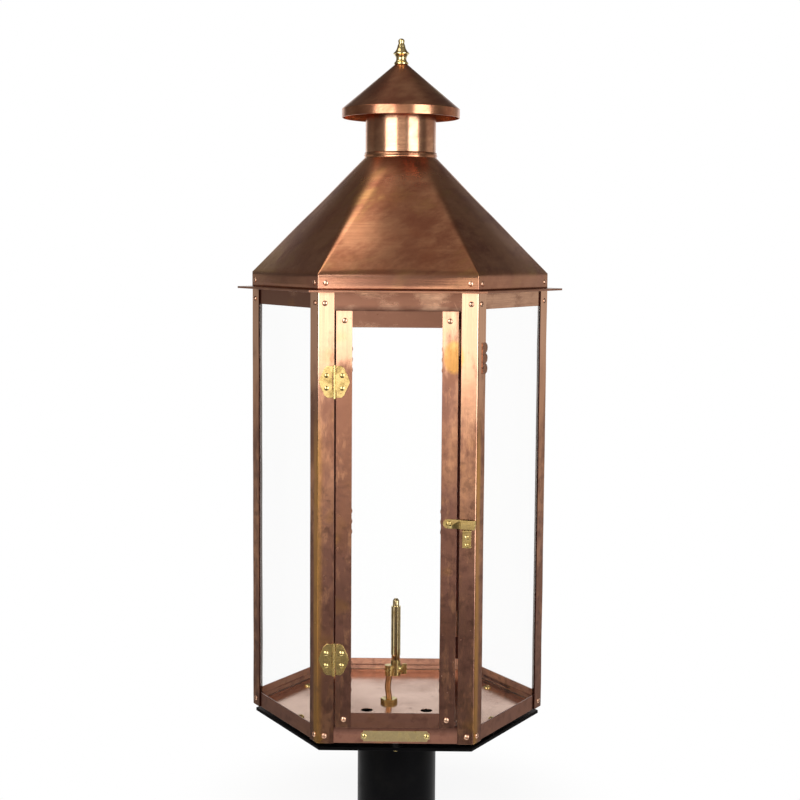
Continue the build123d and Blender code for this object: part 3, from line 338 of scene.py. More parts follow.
# Corner posts. Strips of copper sheet bent lengthwise to 120 degrees, one at each corner.
# The bend is a true radius, and the flats are a little wavy from the folding.
POST_BEND = 1.3 * mm
LONG_EDGE = 100 * mm
WAVE_DEPTH = 0.32 * mm
WAVE_LENGTH = 52 * mm
SLICE = 17 * mm
POST_AGES = (0.0, 0.03, 0.03, 0.03, 0.03, 0.07)
STREAK_SHARE = 0.62
BLACK_EDGE = 1.2 * mm
TURNED_TO = 0.6
FACES_FRONT = 0.9
FRONT_POSTS = -50 * mm
# The clean colour stands both for clean copper in scratches and for painted light on the upper parts of
# the uprights; the tarnished colour stands both for pale tarnish and for painted shade lower down.
COPPER_CLEAN_AND_LIT = (0.94, 0.60, 0.41)
COPPER_TARNISHED_AND_SHADED = (0.78, 0.43, 0.255)
COPPER_BROWN = (0.36, 0.18, 0.12)
COPPER_PLUM = (0.33, 0.175, 0.145)
COPPER_DARK = (0.15, 0.075, 0.06)
COPPER_GOLD = (0.90, 0.50, 0.12)
# Painted shade: faces of the posts that turn into the lantern and the free edges of their flanges are
# coloured near black, and so are the rails where they are level with the door.
COPPER_PAINTED_SHADE = (0.045, 0.014, 0.010)
HEAT_PATCH = Vector((53.5, -134, 487)) * mm
HEAT_SIZE = (1.0, 0.5, 0.6)
HEAT_REACH = 10.5 * mm
HEAT_EDGE = 3.5 * mm
RELIEF = 0.22 * mm
MARKS = ("batch", "age", "painted_shade", "lean", "bend")


def frame_copper(name, upright, rough):
    """Rolled strip, satin and stained: grain along it, brown and plum clouds, heat tints."""
    material, shader, place = new_finish(name)
    batch, age, painted_shade, lean, bend = (
        place.node("ShaderNodeAttribute", {"attribute_name": mark}, output="Fac") for mark in MARKS
    )
    height = place.node("ShaderNodeSeparateXYZ", {}, {0: place}, "Z")
    along = place.stretched(1, 1, 0.36) if upright else place.stretched(0.5, 0.5, 1)
    rolled = place.stretched(1, 1, 0.02) if upright else place.stretched(0.04, 0.04, 1)
    grain_share = 0.2 if upright else 0.5
    pale_share = 0.55 if upright else 0.1
    # Painted light and shade by height: the metal is paler towards the top and browner towards the
    # bottom, partly as tarnish and partly as painted shade.
    lit_top = height.step(0.44, 0.54)
    lower_stains_and_shade = height.step(0.44, 0.16) * 0.16 - lit_top * 0.14
    stains = along.cloud(0.022, batch, 5, 0.66)
    brown = (stains + lower_stains_and_shade + age).step(0.46, 0.7)
    plum = (along.cloud(0.034, batch + 20.0, 3) + lower_stains_and_shade).step(0.48, 0.68)
    pale = (along.cloud(0.014, batch + 30.0, 5, 0.7) + lower_stains_and_shade * 0.35).step(0.55, 0.67)
    pale = pale * pale_share * (1 - lit_top)
    blotches = place.cloud(0.010, batch + 50.0, 4, 0.62).step(0.48, 0.64) * height.step(0.46, 0.32)
    golden_edge = bend.step(0.35, 0.7) * height.step(0.46, 0.36) * stains.step(0.2, 0.6)
    inner = age.step(-0.1, -0.25)
    gold = place.cloud(0.045, batch + 40.0, 2).step(0.6, 0.76)
    from_heat = place.node("ShaderNodeVectorMath", {"operation": "SUBTRACT"}, {0: place, 1: HEAT_PATCH})
    from_heat = from_heat.stretched(*HEAT_SIZE)
    distance = place.node("ShaderNodeVectorMath", {"operation": "LENGTH"}, {0: from_heat}, "Value")
    heat = (distance + stains * 0.006).step(HEAT_REACH + HEAT_EDGE, HEAT_REACH)
    grain = rolled.cloud(0.0016, batch, 4, 0.65)
    scratches = place.stretched(1, 1, 0.05, 24).cloud(0.0022, batch + 60.0, 2).step(0.7, 0.76)
    spots = place.cloud(0.0045, batch + 80.0, 3, 0.6).step(0.66, 0.76)
    # Clean copper high up and tarnished copper lower down: partly real tarnish, partly painted light
    # above and painted shade below.
    tarnish_and_shade_low = (height + stains * 0.12).step(0.58, 0.44)
    tarnish_and_light_by_height = tarnish_and_shade_low.between(COPPER_CLEAN_AND_LIT, COPPER_TARNISHED_AND_SHADED)
    stained = brown.between(tarnish_and_light_by_height, COPPER_BROWN)
    tinted = (plum * 0.6).between(stained, COPPER_PLUM)
    tinted = pale.between(tinted, COPPER_TARNISHED_AND_SHADED)
    tinted = (blotches * 0.5).between(tinted, COPPER_DARK)
    hot = place.maths("MAXIMUM", heat * 0.65, golden_edge * 0.85)
    warmed = place.maths("MAXIMUM", gold * 0.4, hot).between(tinted, COPPER_GOLD)
    grained = (grain.step(0.3, 0.75) * grain_share).between(warmed, COPPER_BROWN)
    outer = (scratches * 0.5).between(grained, COPPER_CLEAN_AND_LIT)
    uneven = grain * 0.12 + place.cloud(0.03, batch) + spots * 0.05
    uneven = uneven - height * lean * (math.radians(1) / RELIEF)
    # Where the shade mark is set, the colour is painted shade, near black, and the metal is rougher.
    feed(
        shader,
        Base_Color=painted_shade.between(outer, COPPER_PAINTED_SHADE),
        Metallic=1.0,
        Roughness=rough + brown * 0.08 + grain * 0.05 + spots * 0.08 + painted_shade * 0.3 + inner * 0.38,
        Normal=relief(uneven, RELIEF),
    )
    return material


def marked(piece, batch, age=0.0, painted_shade=0.0, lean=0.0, bend=0.0):
    """Write marks on a mesh, each as one number or as a function that gives a vertex its own.

    They shift its stains, say how old it looks, where it is painted dark as shade, how far
    its light leans, and how near its bend is.
    """
    vertices = piece.data.vertices
    for mark, value in zip(MARKS, (batch, age, painted_shade, lean, bend)):
        numbers = [float(value(vertex)) if callable(value) else value for vertex in vertices]
        written = piece.data.attributes.new(mark, "FLOAT", "POINT")
        written.data.foreach_set("value", numbers)


def sliced(form):
    """Cut a form across at even heights, so that it can be bent."""
    heights = [v.co.z for v in form.verts]
    for index in range(math.ceil(min(heights) / SLICE), math.ceil(max(heights) / SLICE)):
        cut = Vector((0, 0, index * SLICE))
        geometry = form.verts[:] + form.edges[:] + form.faces[:]
        bmesh.ops.bisect_plane(form, geom=geometry, dist=1e-7, plane_co=cut, plane_no=(0, 0, 1))
    return form


def wavy(form):
    """Move a form in and out by a field that is the same for every sheet of the lantern."""
    for v in form.verts:
        away = Vector((v.co.x, v.co.y, 0)).normalized()
        v.co += away * WAVE_DEPTH * noise.noise(v.co / WAVE_LENGTH)
    return form


def bent_post(node):
    """A corner post with its bend rounded, its edges eased and its flats wavy."""
    form = flattened(node)
    tall = [e for e in form.edges if e.calc_length() > LONG_EDGE and len(e.link_faces) == 2]
    outer = max(tall, key=lambda e: e.verts[0].co.xy.length)
    eased(bevelled(form, [outer], POST_BEND, segments=5), SHEET_EDGE, sharpest=50)
    return wavy(sliced(form))


def post_marks(post):
    """Two marks for a post's vertices: which are painted dark as shade, and how near the bend they are.
    """
    places = [v.co.xy for v in post.data.vertices]
    corner = max(places, key=lambda place: place.length)
    width = max((place - corner).length for place in places)

    # Painted shade on the free edges of the flanges and on the faces that turn into the lantern.
    def in_painted_shade(vertex):
        away = vertex.co.xy - corner
        near_edge = away.length > width - BLACK_EDGE
        at_edge = near_edge and vertex.normal.xy.dot(away.normalized()) > TURNED_TO
        return at_edge or vertex.normal.xy.dot(vertex.co.xy.normalized()) < -TURNED_TO

    def nearness(vertex):
        beside_door = vertex.normal.y < -FACES_FRONT
        if corner.y > FRONT_POSTS or (beside_door and corner.x > 0):
            return 0.0
        share = 1 - (vertex.co.xy - corner).length / width
        return share * STREAK_SHARE if beside_door else share

    return in_painted_shade, nearness


upright_copper = frame_copper("upright_copper", upright=True, rough=0.14)
level_copper = frame_copper("level_copper", upright=False, rough=0.18)
sides = range(1, 7)
for number in sides:
    node = f"corner_post_{number}"
    post = shown(f"bent_post_{number}", bent_post(node), upright_copper)
    in_painted_shade, nearness = post_marks(post)
    marked(post, number * 3.1, POST_AGES[number - 1], in_painted_shade, bend=nearness)
    fitted(post, node)


# Rails. Copper angle strips behind the posts' flanges, one above and one below on each
# side. The upper ledge carries the drip plate and the lower one carries the floor.
# The upper rail of the sixth side, on the left front, has the highest age: this darkens it as painted
# shade.
RAIL_AGES = {"top": (0.25, 0.12, 0.2, 0.2, 0.2, 0.42), "bottom": (0.16,) * 6}
RAIL_AGE_INSIDE = -0.3
RAIL_LEAN = {"top": 2.7, "bottom": 4.5}
RAIL_FACES_IN = -0.3
DOOR_ABOVE = 1.5 * mm
DOOR_BELOW = 0.5 * mm
door_low, door_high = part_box("door_stile_left")


def shaded_behind_door(vertex):
    """True where a rail is level with the door, which shuts against it in front: painted shade there.
    """
    return door_low.z - DOOR_BELOW < vertex.co.z < door_high.z + DOOR_ABOVE


def weathered(outer_age):
    """How old a rail looks at a vertex: it has stayed clean where it faces into the lantern."""

    def age(vertex):
        facing = vertex.normal.dot(Vector((vertex.co.x, vertex.co.y, 0)).normalized())
        return RAIL_AGE_INSIDE if facing < RAIL_FACES_IN else outer_age

    return age


for number in sides:
    for place, shift in (("top", 7), ("bottom", 11)):
        node = f"{place}_rail_{number}"
        form = wavy(eased(flattened(node), SHEET_EDGE))
        rail = shown(f"angle_{place}_{number}", form, level_copper)
        age = weathered(RAIL_AGES[place][number - 1])
        marked(rail, number * 5.3 + shift, age, shaded_behind_door, RAIL_LEAN[place])
        fitted(rail, node)


# Frame screws. Round-head slotted copper screws, four on each side of the frame, two on
# each side of the skirt and one through each side of the drip plate, tightened by hand.
SCREW_SIZES = {
    "Head radius": 2.7,
    "Head height": 1.4,
    "Shank radius": 1.4,
    "Length": 5.5,
    "Slot width": 0.75,
    "Slot depth": 0.65,
}
SHANK_LAP = 0.05
GOLDEN_TURN = 137.5
SCREW_BRIGHT = (0.92, 0.60, 0.42)
SCREW_DARK = (0.30, 0.13, 0.08)


def screw_copper(name, bright, dark, rough):
    """Screw metal: bright where the driver and hands rub it, dark in hollows and stains."""
    material, shader, place = new_finish(name)
    dirt = place.cloud(0.0025, 10.0, 4, 0.6).step(0.45, 0.75)
    feed(
        shader,
        Base_Color=dirt.between(bright, dark),
        Metallic=1.0,
        Roughness=rough + dirt * 0.15,
        Normal=relief(place.cloud(0.0008, 11.0), 0.02 * mm),
    )
    return material


def screw_tree():
    """Geometry nodes that set one round-head screw on each point of a mesh, sizes in mm."""
    tree = bpy.data.node_groups.new("round_head_screws", "GeometryNodeTree")
    face = tree.interface
    face.new_socket("Seats", in_out="INPUT", socket_type="NodeSocketGeometry")
    for name in SCREW_SIZES:
        face.new_socket(name, in_out="INPUT", socket_type="NodeSocketFloat")
    face.new_socket("Metal", in_out="INPUT", socket_type="NodeSocketMaterial")
    face.new_socket("Screws", in_out="OUTPUT", socket_type="NodeSocketGeometry")
    make = Link(tree).node
    given = {s.name: Link(tree, s) for s in make("NodeGroupInput").socket.node.outputs}
    radius, height, length = given["Head radius"], given["Head height"], given["Length"]

    def vector(x, y, z):
        return make("ShaderNodeCombineXYZ", {}, {0: x, 1: y, 2: z})

    def moved(form, **values):
        return make("GeometryNodeTransform", {}, {"Geometry": form, **values})

    def block(x, y, z, rise):
        cube = make("GeometryNodeMeshCube", {}, {"Size": vector(x, y, z)})
        return moved(cube, Translation=vector(0.0, 0.0, rise))

    ball = make("GeometryNodeMeshUVSphere", {}, {"Segments": 28, "Rings": 18, "Radius": 1.0})
    ball = moved(ball, Scale=vector(radius, radius, height))
    upper = block(radius * 3, radius * 3, height * 4, height * 2)
    slot = block(radius * 3, given["Slot width"], given["Slot depth"] * 2, height)
    dome = make("GeometryNodeMeshBoolean", {"operation": "INTERSECT"}, {1: [ball, upper]})
    head = make("GeometryNodeMeshBoolean", {"operation": "DIFFERENCE"}, {0: dome, 1: slot})
    shank_sizes = {"Vertices": 16, "Radius": given["Shank radius"], "Depth": length}
    shank = make("GeometryNodeMeshCylinder", {}, shank_sizes)
    shank = moved(shank, Translation=vector(0.0, 0.0, length * -0.5 + SHANK_LAP))
    screw = make("GeometryNodeJoinGeometry", {}, {0: [head, shank]})
    screw = moved(screw, Scale=(mm, mm, mm))
    facing = make("GeometryNodeInputNamedAttribute", {"data_type": "FLOAT_VECTOR"}, {"Name": "facing"})
    facing = make("FunctionNodeEulerToRotation", {}, {0: facing})
    placed = {"Points": given["Seats"], "Instance": screw, "Rotation": facing}
    placed = make("GeometryNodeInstanceOnPoints", {}, placed)
    real = make("GeometryNodeRealizeInstances", {}, {"Geometry": placed})
    metal = make("GeometryNodeSetMaterial", {}, {"Geometry": real, "Material": given["Metal"]})
    make("NodeGroupOutput", {}, {"Screws": metal})
    return tree


def outward(number):
    """The direction that a side of the lantern faces, side 1 to the front."""
    return turn(60 * (number - 1), "Z") @ Vector((0, -1, 0))


def separate_solids(node):
    """The vertices of each separate solid of a CAD node."""
    form = merged(node)
    left = set(form.verts)
    solids = []
    while left:
        found = {left.pop()}
        edge = list(found)
        while edge:
            vert = edge.pop()
            near = {e.other_vert(vert) for e in vert.link_edges} - found
            found |= near
            edge.extend(near)
        left -= found
        solids.append([v.co.copy() for v in found])
    form.free()
    return solids


def spread(points, way):
    """How far some points spread along a direction."""
    along = [point.dot(way) for point in points]
    return max(along) - min(along)


def screw_seats(node):
    """Where each screw of a CAD node sits, and which way it faces, in a steady order."""
    facings = [outward(number) for number in sides] + [Vector((0, 0, 1))]
    seats = []
    for points in separate_solids(node):
        middle = sum(points, Vector()) / len(points)
        best = max(facings, key=lambda way: (round(spread(points, way), 5), middle.dot(way)))
        low = [min(p[axis] for p in points) for axis in range(3)]
        high = [max(p[axis] for p in points) for axis in range(3)]
        centre = (Vector(low) + Vector(high)) / 2
        top = max(p.dot(best) for p in points)
        seat = centre + best * (top - SCREW_SIZES["Head height"] * mm - centre.dot(best))
        seats.append((seat, best))
    return sorted(seats, key=lambda seat: tuple(round(value, 4) for value in seat[0]))


screw_maker = screw_tree()


def screws(name, node, metal):
    """Slotted screws on a CAD node's seats, each left at its own angle, as one plain mesh."""
    seats = screw_seats(node)
    mesh = bpy.data.meshes.new(name)
    mesh.from_pydata([place for place, _ in seats], [], [])
    turns = mesh.attributes.new("facing", "FLOAT_VECTOR", "POINT")
    for index, (_, way) in enumerate(seats):
        upright = way.to_track_quat("Z", "Y").to_matrix().to_4x4()
        turns.data[index].vector = (upright @ turn(GOLDEN_TURN * index, "Z")).to_euler()
    piece = bpy.data.objects.new(name, mesh)
    scene.collection.objects.link(piece)
    modifier = piece.modifiers.new("screws", "NODES")
    modifier.node_group = screw_maker
    ids = {s.name: s.identifier for s in screw_maker.interface.items_tree if s.in_out == "INPUT"}
    for label, size in SCREW_SIZES.items():
        modifier[ids[label]] = size
    modifier[ids["Metal"]] = metal
    settled(piece)
    piece.data.shade_smooth()
    piece.data.set_sharp_from_angle(angle=math.radians(40))
    return piece


screw_metal = screw_copper("screw_copper", SCREW_BRIGHT, SCREW_DARK, rough=0.26)
frame_screws = screws("round_head_screws_frame", "frame_screws", screw_metal)
fitted(frame_screws, "frame_screws")


# Floor bolts. Domed brass bolts that go down through floor, rail, spacer and plate, each
# with a hexagon nut under the plate.
BRASS_LIGHT = (0.80, 0.63, 0.27)
BRASS_AGED = (0.47, 0.33, 0.10)


def old_brass(name, light, aged, rough, depth=0.03 * mm):
    """Satin brass with fine turning marks, darker where it has aged."""
    material, shader, place = new_finish(name)
    aging = place.cloud(0.006, 12.0, 5, 0.65).step(0.42, 0.75)
    marks = place.stretched(0.1, 0.1, 1).cloud(0.0007, 13.0, 2)
    feed(
        shader,
        Base_Color=aging.between(light, aged),
        Metallic=1.0,
        Roughness=rough + aging * 0.16,
        Normal=relief(marks * 0.4 + place.cloud(0.003, 14.0), depth),
    )
    return material


brass = old_brass("satin_brass", BRASS_LIGHT, BRASS_AGED, rough=0.2)
dressed("domed_floor_bolts", "floor_bolts", brass, edge=0.2 * mm, shortest=3 * mm)


# Panes. Five plates of clear float glass that stand on the floor behind the rails, with
# their cut edges lightly ground.
GLASS_EDGE = 0.3 * mm
GLASS_TINT = (0.999, 1.0, 0.999)
GLASS_FILM = (0.995, 0.998, 0.996)
GLASS_ENDS = (0.03, 0.022, 0.018)


def mix_in(shader, other, share):
    """Mix another shader into a material's own one, by a share of 0 to 1."""
    own = Link(other.tree, shader.outputs[0])
    mixed = other.node("ShaderNodeMixShader", {}, {0: share, 1: own, 2: other})
    surface = other.tree.nodes["Material Output"].inputs["Surface"]
    other.tree.links.new(mixed.socket, surface)


def clear_glass():
    """Float glass that lets light through to what stands inside it."""
    material, shader, place = new_finish("clear_glass")
    film = place.stretched(1, 1, 0.5).cloud(0.05, 15.0, 4, 0.6).step(0.5, 0.85)
    ends = place.node("ShaderNodeAttribute", {"attribute_name": "ends"}, output="Fac")
    feed(
        shader,
        Base_Color=ends.between(film.between(GLASS_TINT, GLASS_FILM), GLASS_ENDS),
        Roughness=0.0,
        IOR=1.08,
        Transmission_Weight=1.0,
    )
    clear = place.node("ShaderNodeBsdfTransparent", {}, {"Color": (*GLASS_TINT, 1)})
    mix_in(shader, clear, place.node("ShaderNodeLightPath", output="Is Shadow Ray"))
    return material


def ground_pane(name, node):
    """A pane with its ends marked, where the dull ground glass looks dark."""
    pane = shown(name, eased(flattened(node), GLASS_EDGE), glass)
    vertices = pane.data.vertices
    middle = sum((v.co for v in vertices), Vector()) / len(vertices)
    facing = Vector((middle.x, middle.y, 0)).normalized()
    ends = pane.data.attributes.new("ends", "FLOAT", "POINT")
    ends.data.foreach_set("value", [float(abs(v.normal.dot(facing)) < 0.8) for v in vertices])
    return pane


glass = clear_glass()
for number in range(1, 6):
    node = f"glass_pane_{number}"
    fitted(ground_pane(f"ground_pane_{number}", node), node)


# Pane clips. Strips of thin copper with three rounded tongues, soldered behind the post
# flanges, that press the panes against the rails.
CLIP_LIGHT = (0.42, 0.23, 0.15)
CLIP_DARK = (0.10, 0.05, 0.035)
CLIP_EDGE = 0.12 * mm
clip_metal = screw_copper("clip_copper", CLIP_LIGHT, CLIP_DARK, rough=0.2)
dressed(
    "tongue_clips_panes", "pane_clips", clip_metal,
    edge=CLIP_EDGE, shortest=2 * mm,
)


# Gas way. A brass union through the floor, a soft copper pipe bent a little by hand, a
# cast brass valve with its key, and the turned burner tube with its slotted tip.
PIPE_BULGE = 1.3 * mm
PIPE_BROWN = (0.55, 0.30, 0.14)
PIPE_DARK = (0.25, 0.12, 0.05)
PIPE_WALL = 0.8 * mm
PIPE_STEPS = 24
BURNER_BRASS = (0.90, 0.78, 0.46)


def turned(outline, segments, centre=(0, 0)):
    """A hollow turned form from its closed half section of (radius, height) corners."""
    form = bmesh.new()
    angles = [2 * math.pi * step / segments for step in range(segments)]
    rings = []
    for radius, height in outline:
        around = [(centre[0] + radius * math.cos(a), centre[1] + radius * math.sin(a)) for a in angles]
        rings.append([form.verts.new((x, y, height)) for x, y in around])
    for ring, above in zip(rings, rings[1:] + rings[:1]):
        for step in range(segments):
            after = (step + 1) % segments
            form.faces.new((ring[step], ring[after], above[after], above[step]))
    bmesh.ops.recalc_face_normals(form, faces=form.faces)
    return form


dressed("union_and_nut", "inlet_union", brass, edge=0.25 * mm, shortest=3 * mm)

pipe_low, pipe_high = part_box("supply_pipe")
pipe_centre = (pipe_low + pipe_high) / 2
pipe_radius = (pipe_high.x - pipe_low.x) / 2
free_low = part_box("inlet_union")[1].z
free_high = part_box("burner_valve")[0].z
pipe_length = pipe_high.z - pipe_low.z
heights = [pipe_low.z + pipe_length * step / PIPE_STEPS for step in range(PIPE_STEPS + 1)]
pipe_outline = [(pipe_radius, z) for z in heights]
pipe_outline += [(pipe_radius - PIPE_WALL, z) for z in reversed(heights)]
pipe_form = turned(pipe_outline, segments=32, centre=pipe_centre.xy)
for vert in pipe_form.verts:
    share = (vert.co.z - free_low) / (free_high - free_low)
    if 0 < share < 1:
        vert.co.x -= PIPE_BULGE * math.sin(math.pi * share) ** 2
pipe_metal = old_brass("brown_copper_pipe", PIPE_BROWN, PIPE_DARK, rough=0.28)
pipe = shown("bent_supply_pipe", pipe_form, pipe_metal)
fitted(pipe, "supply_pipe")

dressed("cast_valve", "burner_valve", brass, edge=0.3 * mm, shortest=6 * mm)
dressed(
    "valve_key_wing", "valve_key", brass,
    edge=0.35 * mm, shortest=1.5 * mm, body="gas_key",
)

burner_metal = old_brass("polished_brass", BURNER_BRASS, BRASS_AGED, rough=0.07, depth=0.006 * mm)
dressed("turned_burner", "burner_tube", burner_metal, edge=0.2 * mm, shortest=3 * mm, sharp=30)


# Door. Two full-height stiles and two rails of flat copper strip, lapped at the corners
# and held by four screws, with a pane in clips behind them.
STILE_AGE = 0.24
STILE_AGE_ABOVE = 0.02
AGE_TURNS = 430 * mm
AGE_FADES = 70 * mm


def lit_above_hinge(vertex):
    """The age of the left stile, set lower above the upper hinge as painted light, so it looks brighter
    there.
    """
    share = min(1.0, max(0.0, (vertex.co.z - AGE_TURNS) / AGE_FADES))
    return STILE_AGE - (STILE_AGE - STILE_AGE_ABOVE) * share


for node, metal, batch, age, lean in (
    ("door_stile_left", upright_copper, 31.0, lit_above_hinge, 0.0),
    ("door_stile_right", upright_copper, 37.0, 0.19, 0.0),
    ("door_rail_bottom", level_copper, 41.0, 0.24, 0.8),
    ("door_rail_top", level_copper, 47.0, 0.32, 5.0),
):
    form = eased(flattened(node), SHEET_EDGE)
    if "stile" in node:
        sliced(form)
    strip = shown(f"{node}_strip", wavy(form), metal)
    marked(strip, batch, age, lean=lean)
    fitted(strip, node, "door")

door_screws = screws("round_head_screws_door", "door_screws", screw_metal)
fitted(door_screws, "door_screws", "door")

door_pane = ground_pane("ground_pane_door", "door_glass")
fitted(door_pane, "door_glass", "door")

dressed(
    "tongue_clips_door", "door_clips", clip_metal,
    edge=CLIP_EDGE, shortest=2 * mm, body="door",
)


# Hinges. Two cast brass butterfly hinges with loose pins and domed screws, one leaf on
# the left front post and one on the door.
for part, body in (("frame", "lantern"), ("door", "door")):
    for height in ("lower", "upper"):
        node = f"hinge_{part}_leaf_{height}"
        dressed(f"{node}_cast", node, brass, edge=0.25 * mm, shortest=1.4 * mm, body=body)

dressed("loose_pins", "hinge_pins", brass, edge=0.15 * mm, shortest=3 * mm)

for node, body in (("brass_screws_frame", "lantern"), ("brass_screws_door", "door")):
    name = f"{node}_domed"
    dressed(name, node, brass, edge=0.05 * mm, shortest=3 * mm, body=body, sharp=30)


# Latch. A flat brass arm that turns on a shouldered screw in the door and drops behind
# the lip of a bent brass keeper on the right front post.
dressed("flat_latch_arm", "latch_arm", brass, edge=0.2 * mm, body="latch")
dressed("bent_keeper", "latch_keeper", brass, edge=0.2 * mm)


# Nameplate. A small plate cut from brass sheet, with scooped corners and a bare face. Two
# small screws hold it on the front lower rail.
PLATE_LIGHT = (0.84, 0.70, 0.38)
PLATE_AGED = (0.52, 0.40, 0.16)
plate_metal = old_brass("pale_plate_brass", PLATE_LIGHT, PLATE_AGED, rough=0.3, depth=0.02 * mm)
dressed("scooped_plate", "nameplate", plate_metal, edge=0.15 * mm, shortest=0.9 * mm)


# Drip plate. A flat six-sided copper sheet on top of the frame that stands out all round
# and throws the rain clear. Its upturned tabs take the roof's screws.
ROOF_LIGHT = (0.76, 0.39, 0.22)
ROOF_BROWN = (0.42, 0.165, 0.095)
ROOF_RUST = (0.60, 0.24, 0.12)
ROOF_GOLD = (0.78, 0.46, 0.19)
ROOF_PINK = (0.52, 0.28, 0.20)
DRIP_LIGHT = (0.50, 0.25, 0.14)
DRIP_BROWN = (0.20, 0.085, 0.05)


def roof_copper(name, light, brown, rough):
    """Brushed sheet with level grain, water stains, heat tints and fine scratches."""
    material, shader, place = new_finish(name)
    height = place.node("ShaderNodeSeparateXYZ", {}, {0: place}, "Z")
    foot, top = (corner.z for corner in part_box("roof_hood"))
    by_collar = height.step(top - 45 * mm, top - 8 * mm) * height.step(top - 5.5 * mm, top - 6.5 * mm)
    skirt = height.step(foot + 16 * mm, foot + 13 * mm)
    grain = place.stretched(0.035, 0.035, 1).cloud(0.0018, 50.0, 4, 0.68)
    broad_grain = place.stretched(0.05, 0.05, 1).cloud(0.006, 51.0, 3)
    streaks = place.stretched(0.3, 0.5, 1, 28).cloud(0.016, 57.0, 5, 0.62)
    stains = place.stretched(0.6, 1, 1, 28).cloud(0.04, 52.0, 6, 0.66)
    rust = place.cloud(0.036, 53.0, 4, 0.6).step(0.45, 0.7)
    gold = place.stretched(0.5, 1, 1, 35).cloud(0.045, 54.0, 4).step(0.5, 0.66)
    scratches = place.stretched(0.06, 0.06, 1, 12).cloud(0.0016, 55.0, 2).step(0.7, 0.77)
    dark = (stains * 0.55 + streaks * 0.45).step(0.42, 0.6)
    base = dark.between(light, brown)
    rusty = (rust * 0.45).between(base, ROOF_RUST)
    golden = (gold * streaks.step(0.4, 0.6) * 0.8).between(rusty, ROOF_GOLD)
    pink = (skirt * 0.6).between(golden, ROOF_PINK)
    lined = (grain.step(0.35, 0.8) * 0.34 + broad_grain.step(0.4, 0.8) * 0.12).between(pink, brown)
    feed(
        shader,
        Base_Color=(scratches * 0.4).between(lined, light),
        Metallic=1.0,
        Roughness=rough + dark * 0.05 + grain * 0.06 + by_collar * 0.1,
        Normal=relief(grain * 0.16 + place.cloud(0.045, 56.0), 0.3 * mm),
    )
    return material


roof_metal = roof_copper("roof_copper", ROOF_LIGHT, ROOF_BROWN, rough=0.17)
drip_metal = roof_copper("drip_copper", DRIP_LIGHT, DRIP_BROWN, rough=0.25)
dressed("drip_sheet", "drip_plate", drip_metal, edge=SHEET_EDGE)


# Roof hood. One sheet of copper, folded six-sided at the skirt and drawn round to the
# collar. The folding leaves soft hollows in its slopes and a dented lower lip.
hood_low, hood_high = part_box("roof_hood")
HOOD_ACROSS = (hood_high.x - hood_low.x) / 2
HOOD_BEND = 1.6 * mm
HOOD_SHEET = 1.0 * mm
SKIRT_HEIGHT = 14.9 * mm
COLLAR_HEIGHT = 6.0 * mm
COLLAR_STEP = 0.7 * mm
COLLAR_BEAD = (
    (0.15 * mm, 0.5 * mm),
    (0.0, 1.0 * mm),
    (0.0, 2.4 * mm),
    (0.5 * mm, 3.0 * mm),
    (0.5 * mm, 3.6 * mm),
    (0.0, 4.2 * mm),
    (0.0, COLLAR_HEIGHT),
)
SIDE_SPREAD = math.radians(1.5)
FLAT_COLUMNS = 14
CORNER_COLUMNS = 14
SKIRT_ROWS = 8
SLOPE_ROWS = 26
HOOD_PILLOW = 3.4 * mm
HOOD_BOW = 0.45
HOOD_DENT = 0.5 * mm
HOOD_DENT_LENGTH = 48 * mm
SKIRT_LEAN = 1.3 * mm
LIP_TUCK = 0.5 * mm
LIP_SHARE = 0.25
LIP_DENT = 0.35 * mm
LIP_DENT_LENGTH = 22 * mm
FOLD_GAP = 1.2 * mm
BOW_FADES = 4
SLOPE_LEVEL = 0.64
SLOPE_UP = 0.77
COLLAR_CLEAR = 0.9 * mm
corner_out = HOOD_ACROSS + HOOD_BEND / math.cos(math.pi / 6) - HOOD_BEND
fold_height = hood_low.z + SKIRT_HEIGHT
slope_top = hood_high.z - COLLAR_HEIGHT
collar_low, collar_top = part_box("chimney_tube")
collar_radius = (collar_top.x - collar_low.x) / 2 + COLLAR_CLEAR


def heading(angle):
    """The level direction at an angle round the lantern."""
    return Vector((math.cos(angle), math.sin(angle)))


def hood_columns():
    """For each column round the hood: its skirt point, collar angle, and place on the flat."""
    columns = []
    back = HOOD_BEND * math.tan(math.pi / 6)
    for index in range(6):
        angle = math.pi / 3 * index
        here = heading(angle) * corner_out
        after = heading(angle + math.pi / 3) * corner_out
        centre = here.normalized() * (corner_out - HOOD_BEND / math.cos(math.pi / 6))
        for step in range(CORNER_COLUMNS):
            share = step / CORNER_COLUMNS
            bend_angle = angle + (share - 0.5) * math.pi / 3
            point = centre + heading(bend_angle) * HOOD_BEND
            collar_angle = angle + (share - 0.5) * (math.pi / 3 - 2 * SIDE_SPREAD)
            columns.append((point, collar_angle, 0.0))
        start = here + (after - here).normalized() * back
        end = after + (here - after).normalized() * back
        for step in range(FLAT_COLUMNS):
            share = step / FLAT_COLUMNS
            spread = math.pi / 6 + (share * 2 - 1) * SIDE_SPREAD
            columns.append((start.lerp(end, share), angle + spread, math.sin(math.pi * share)))
    return columns


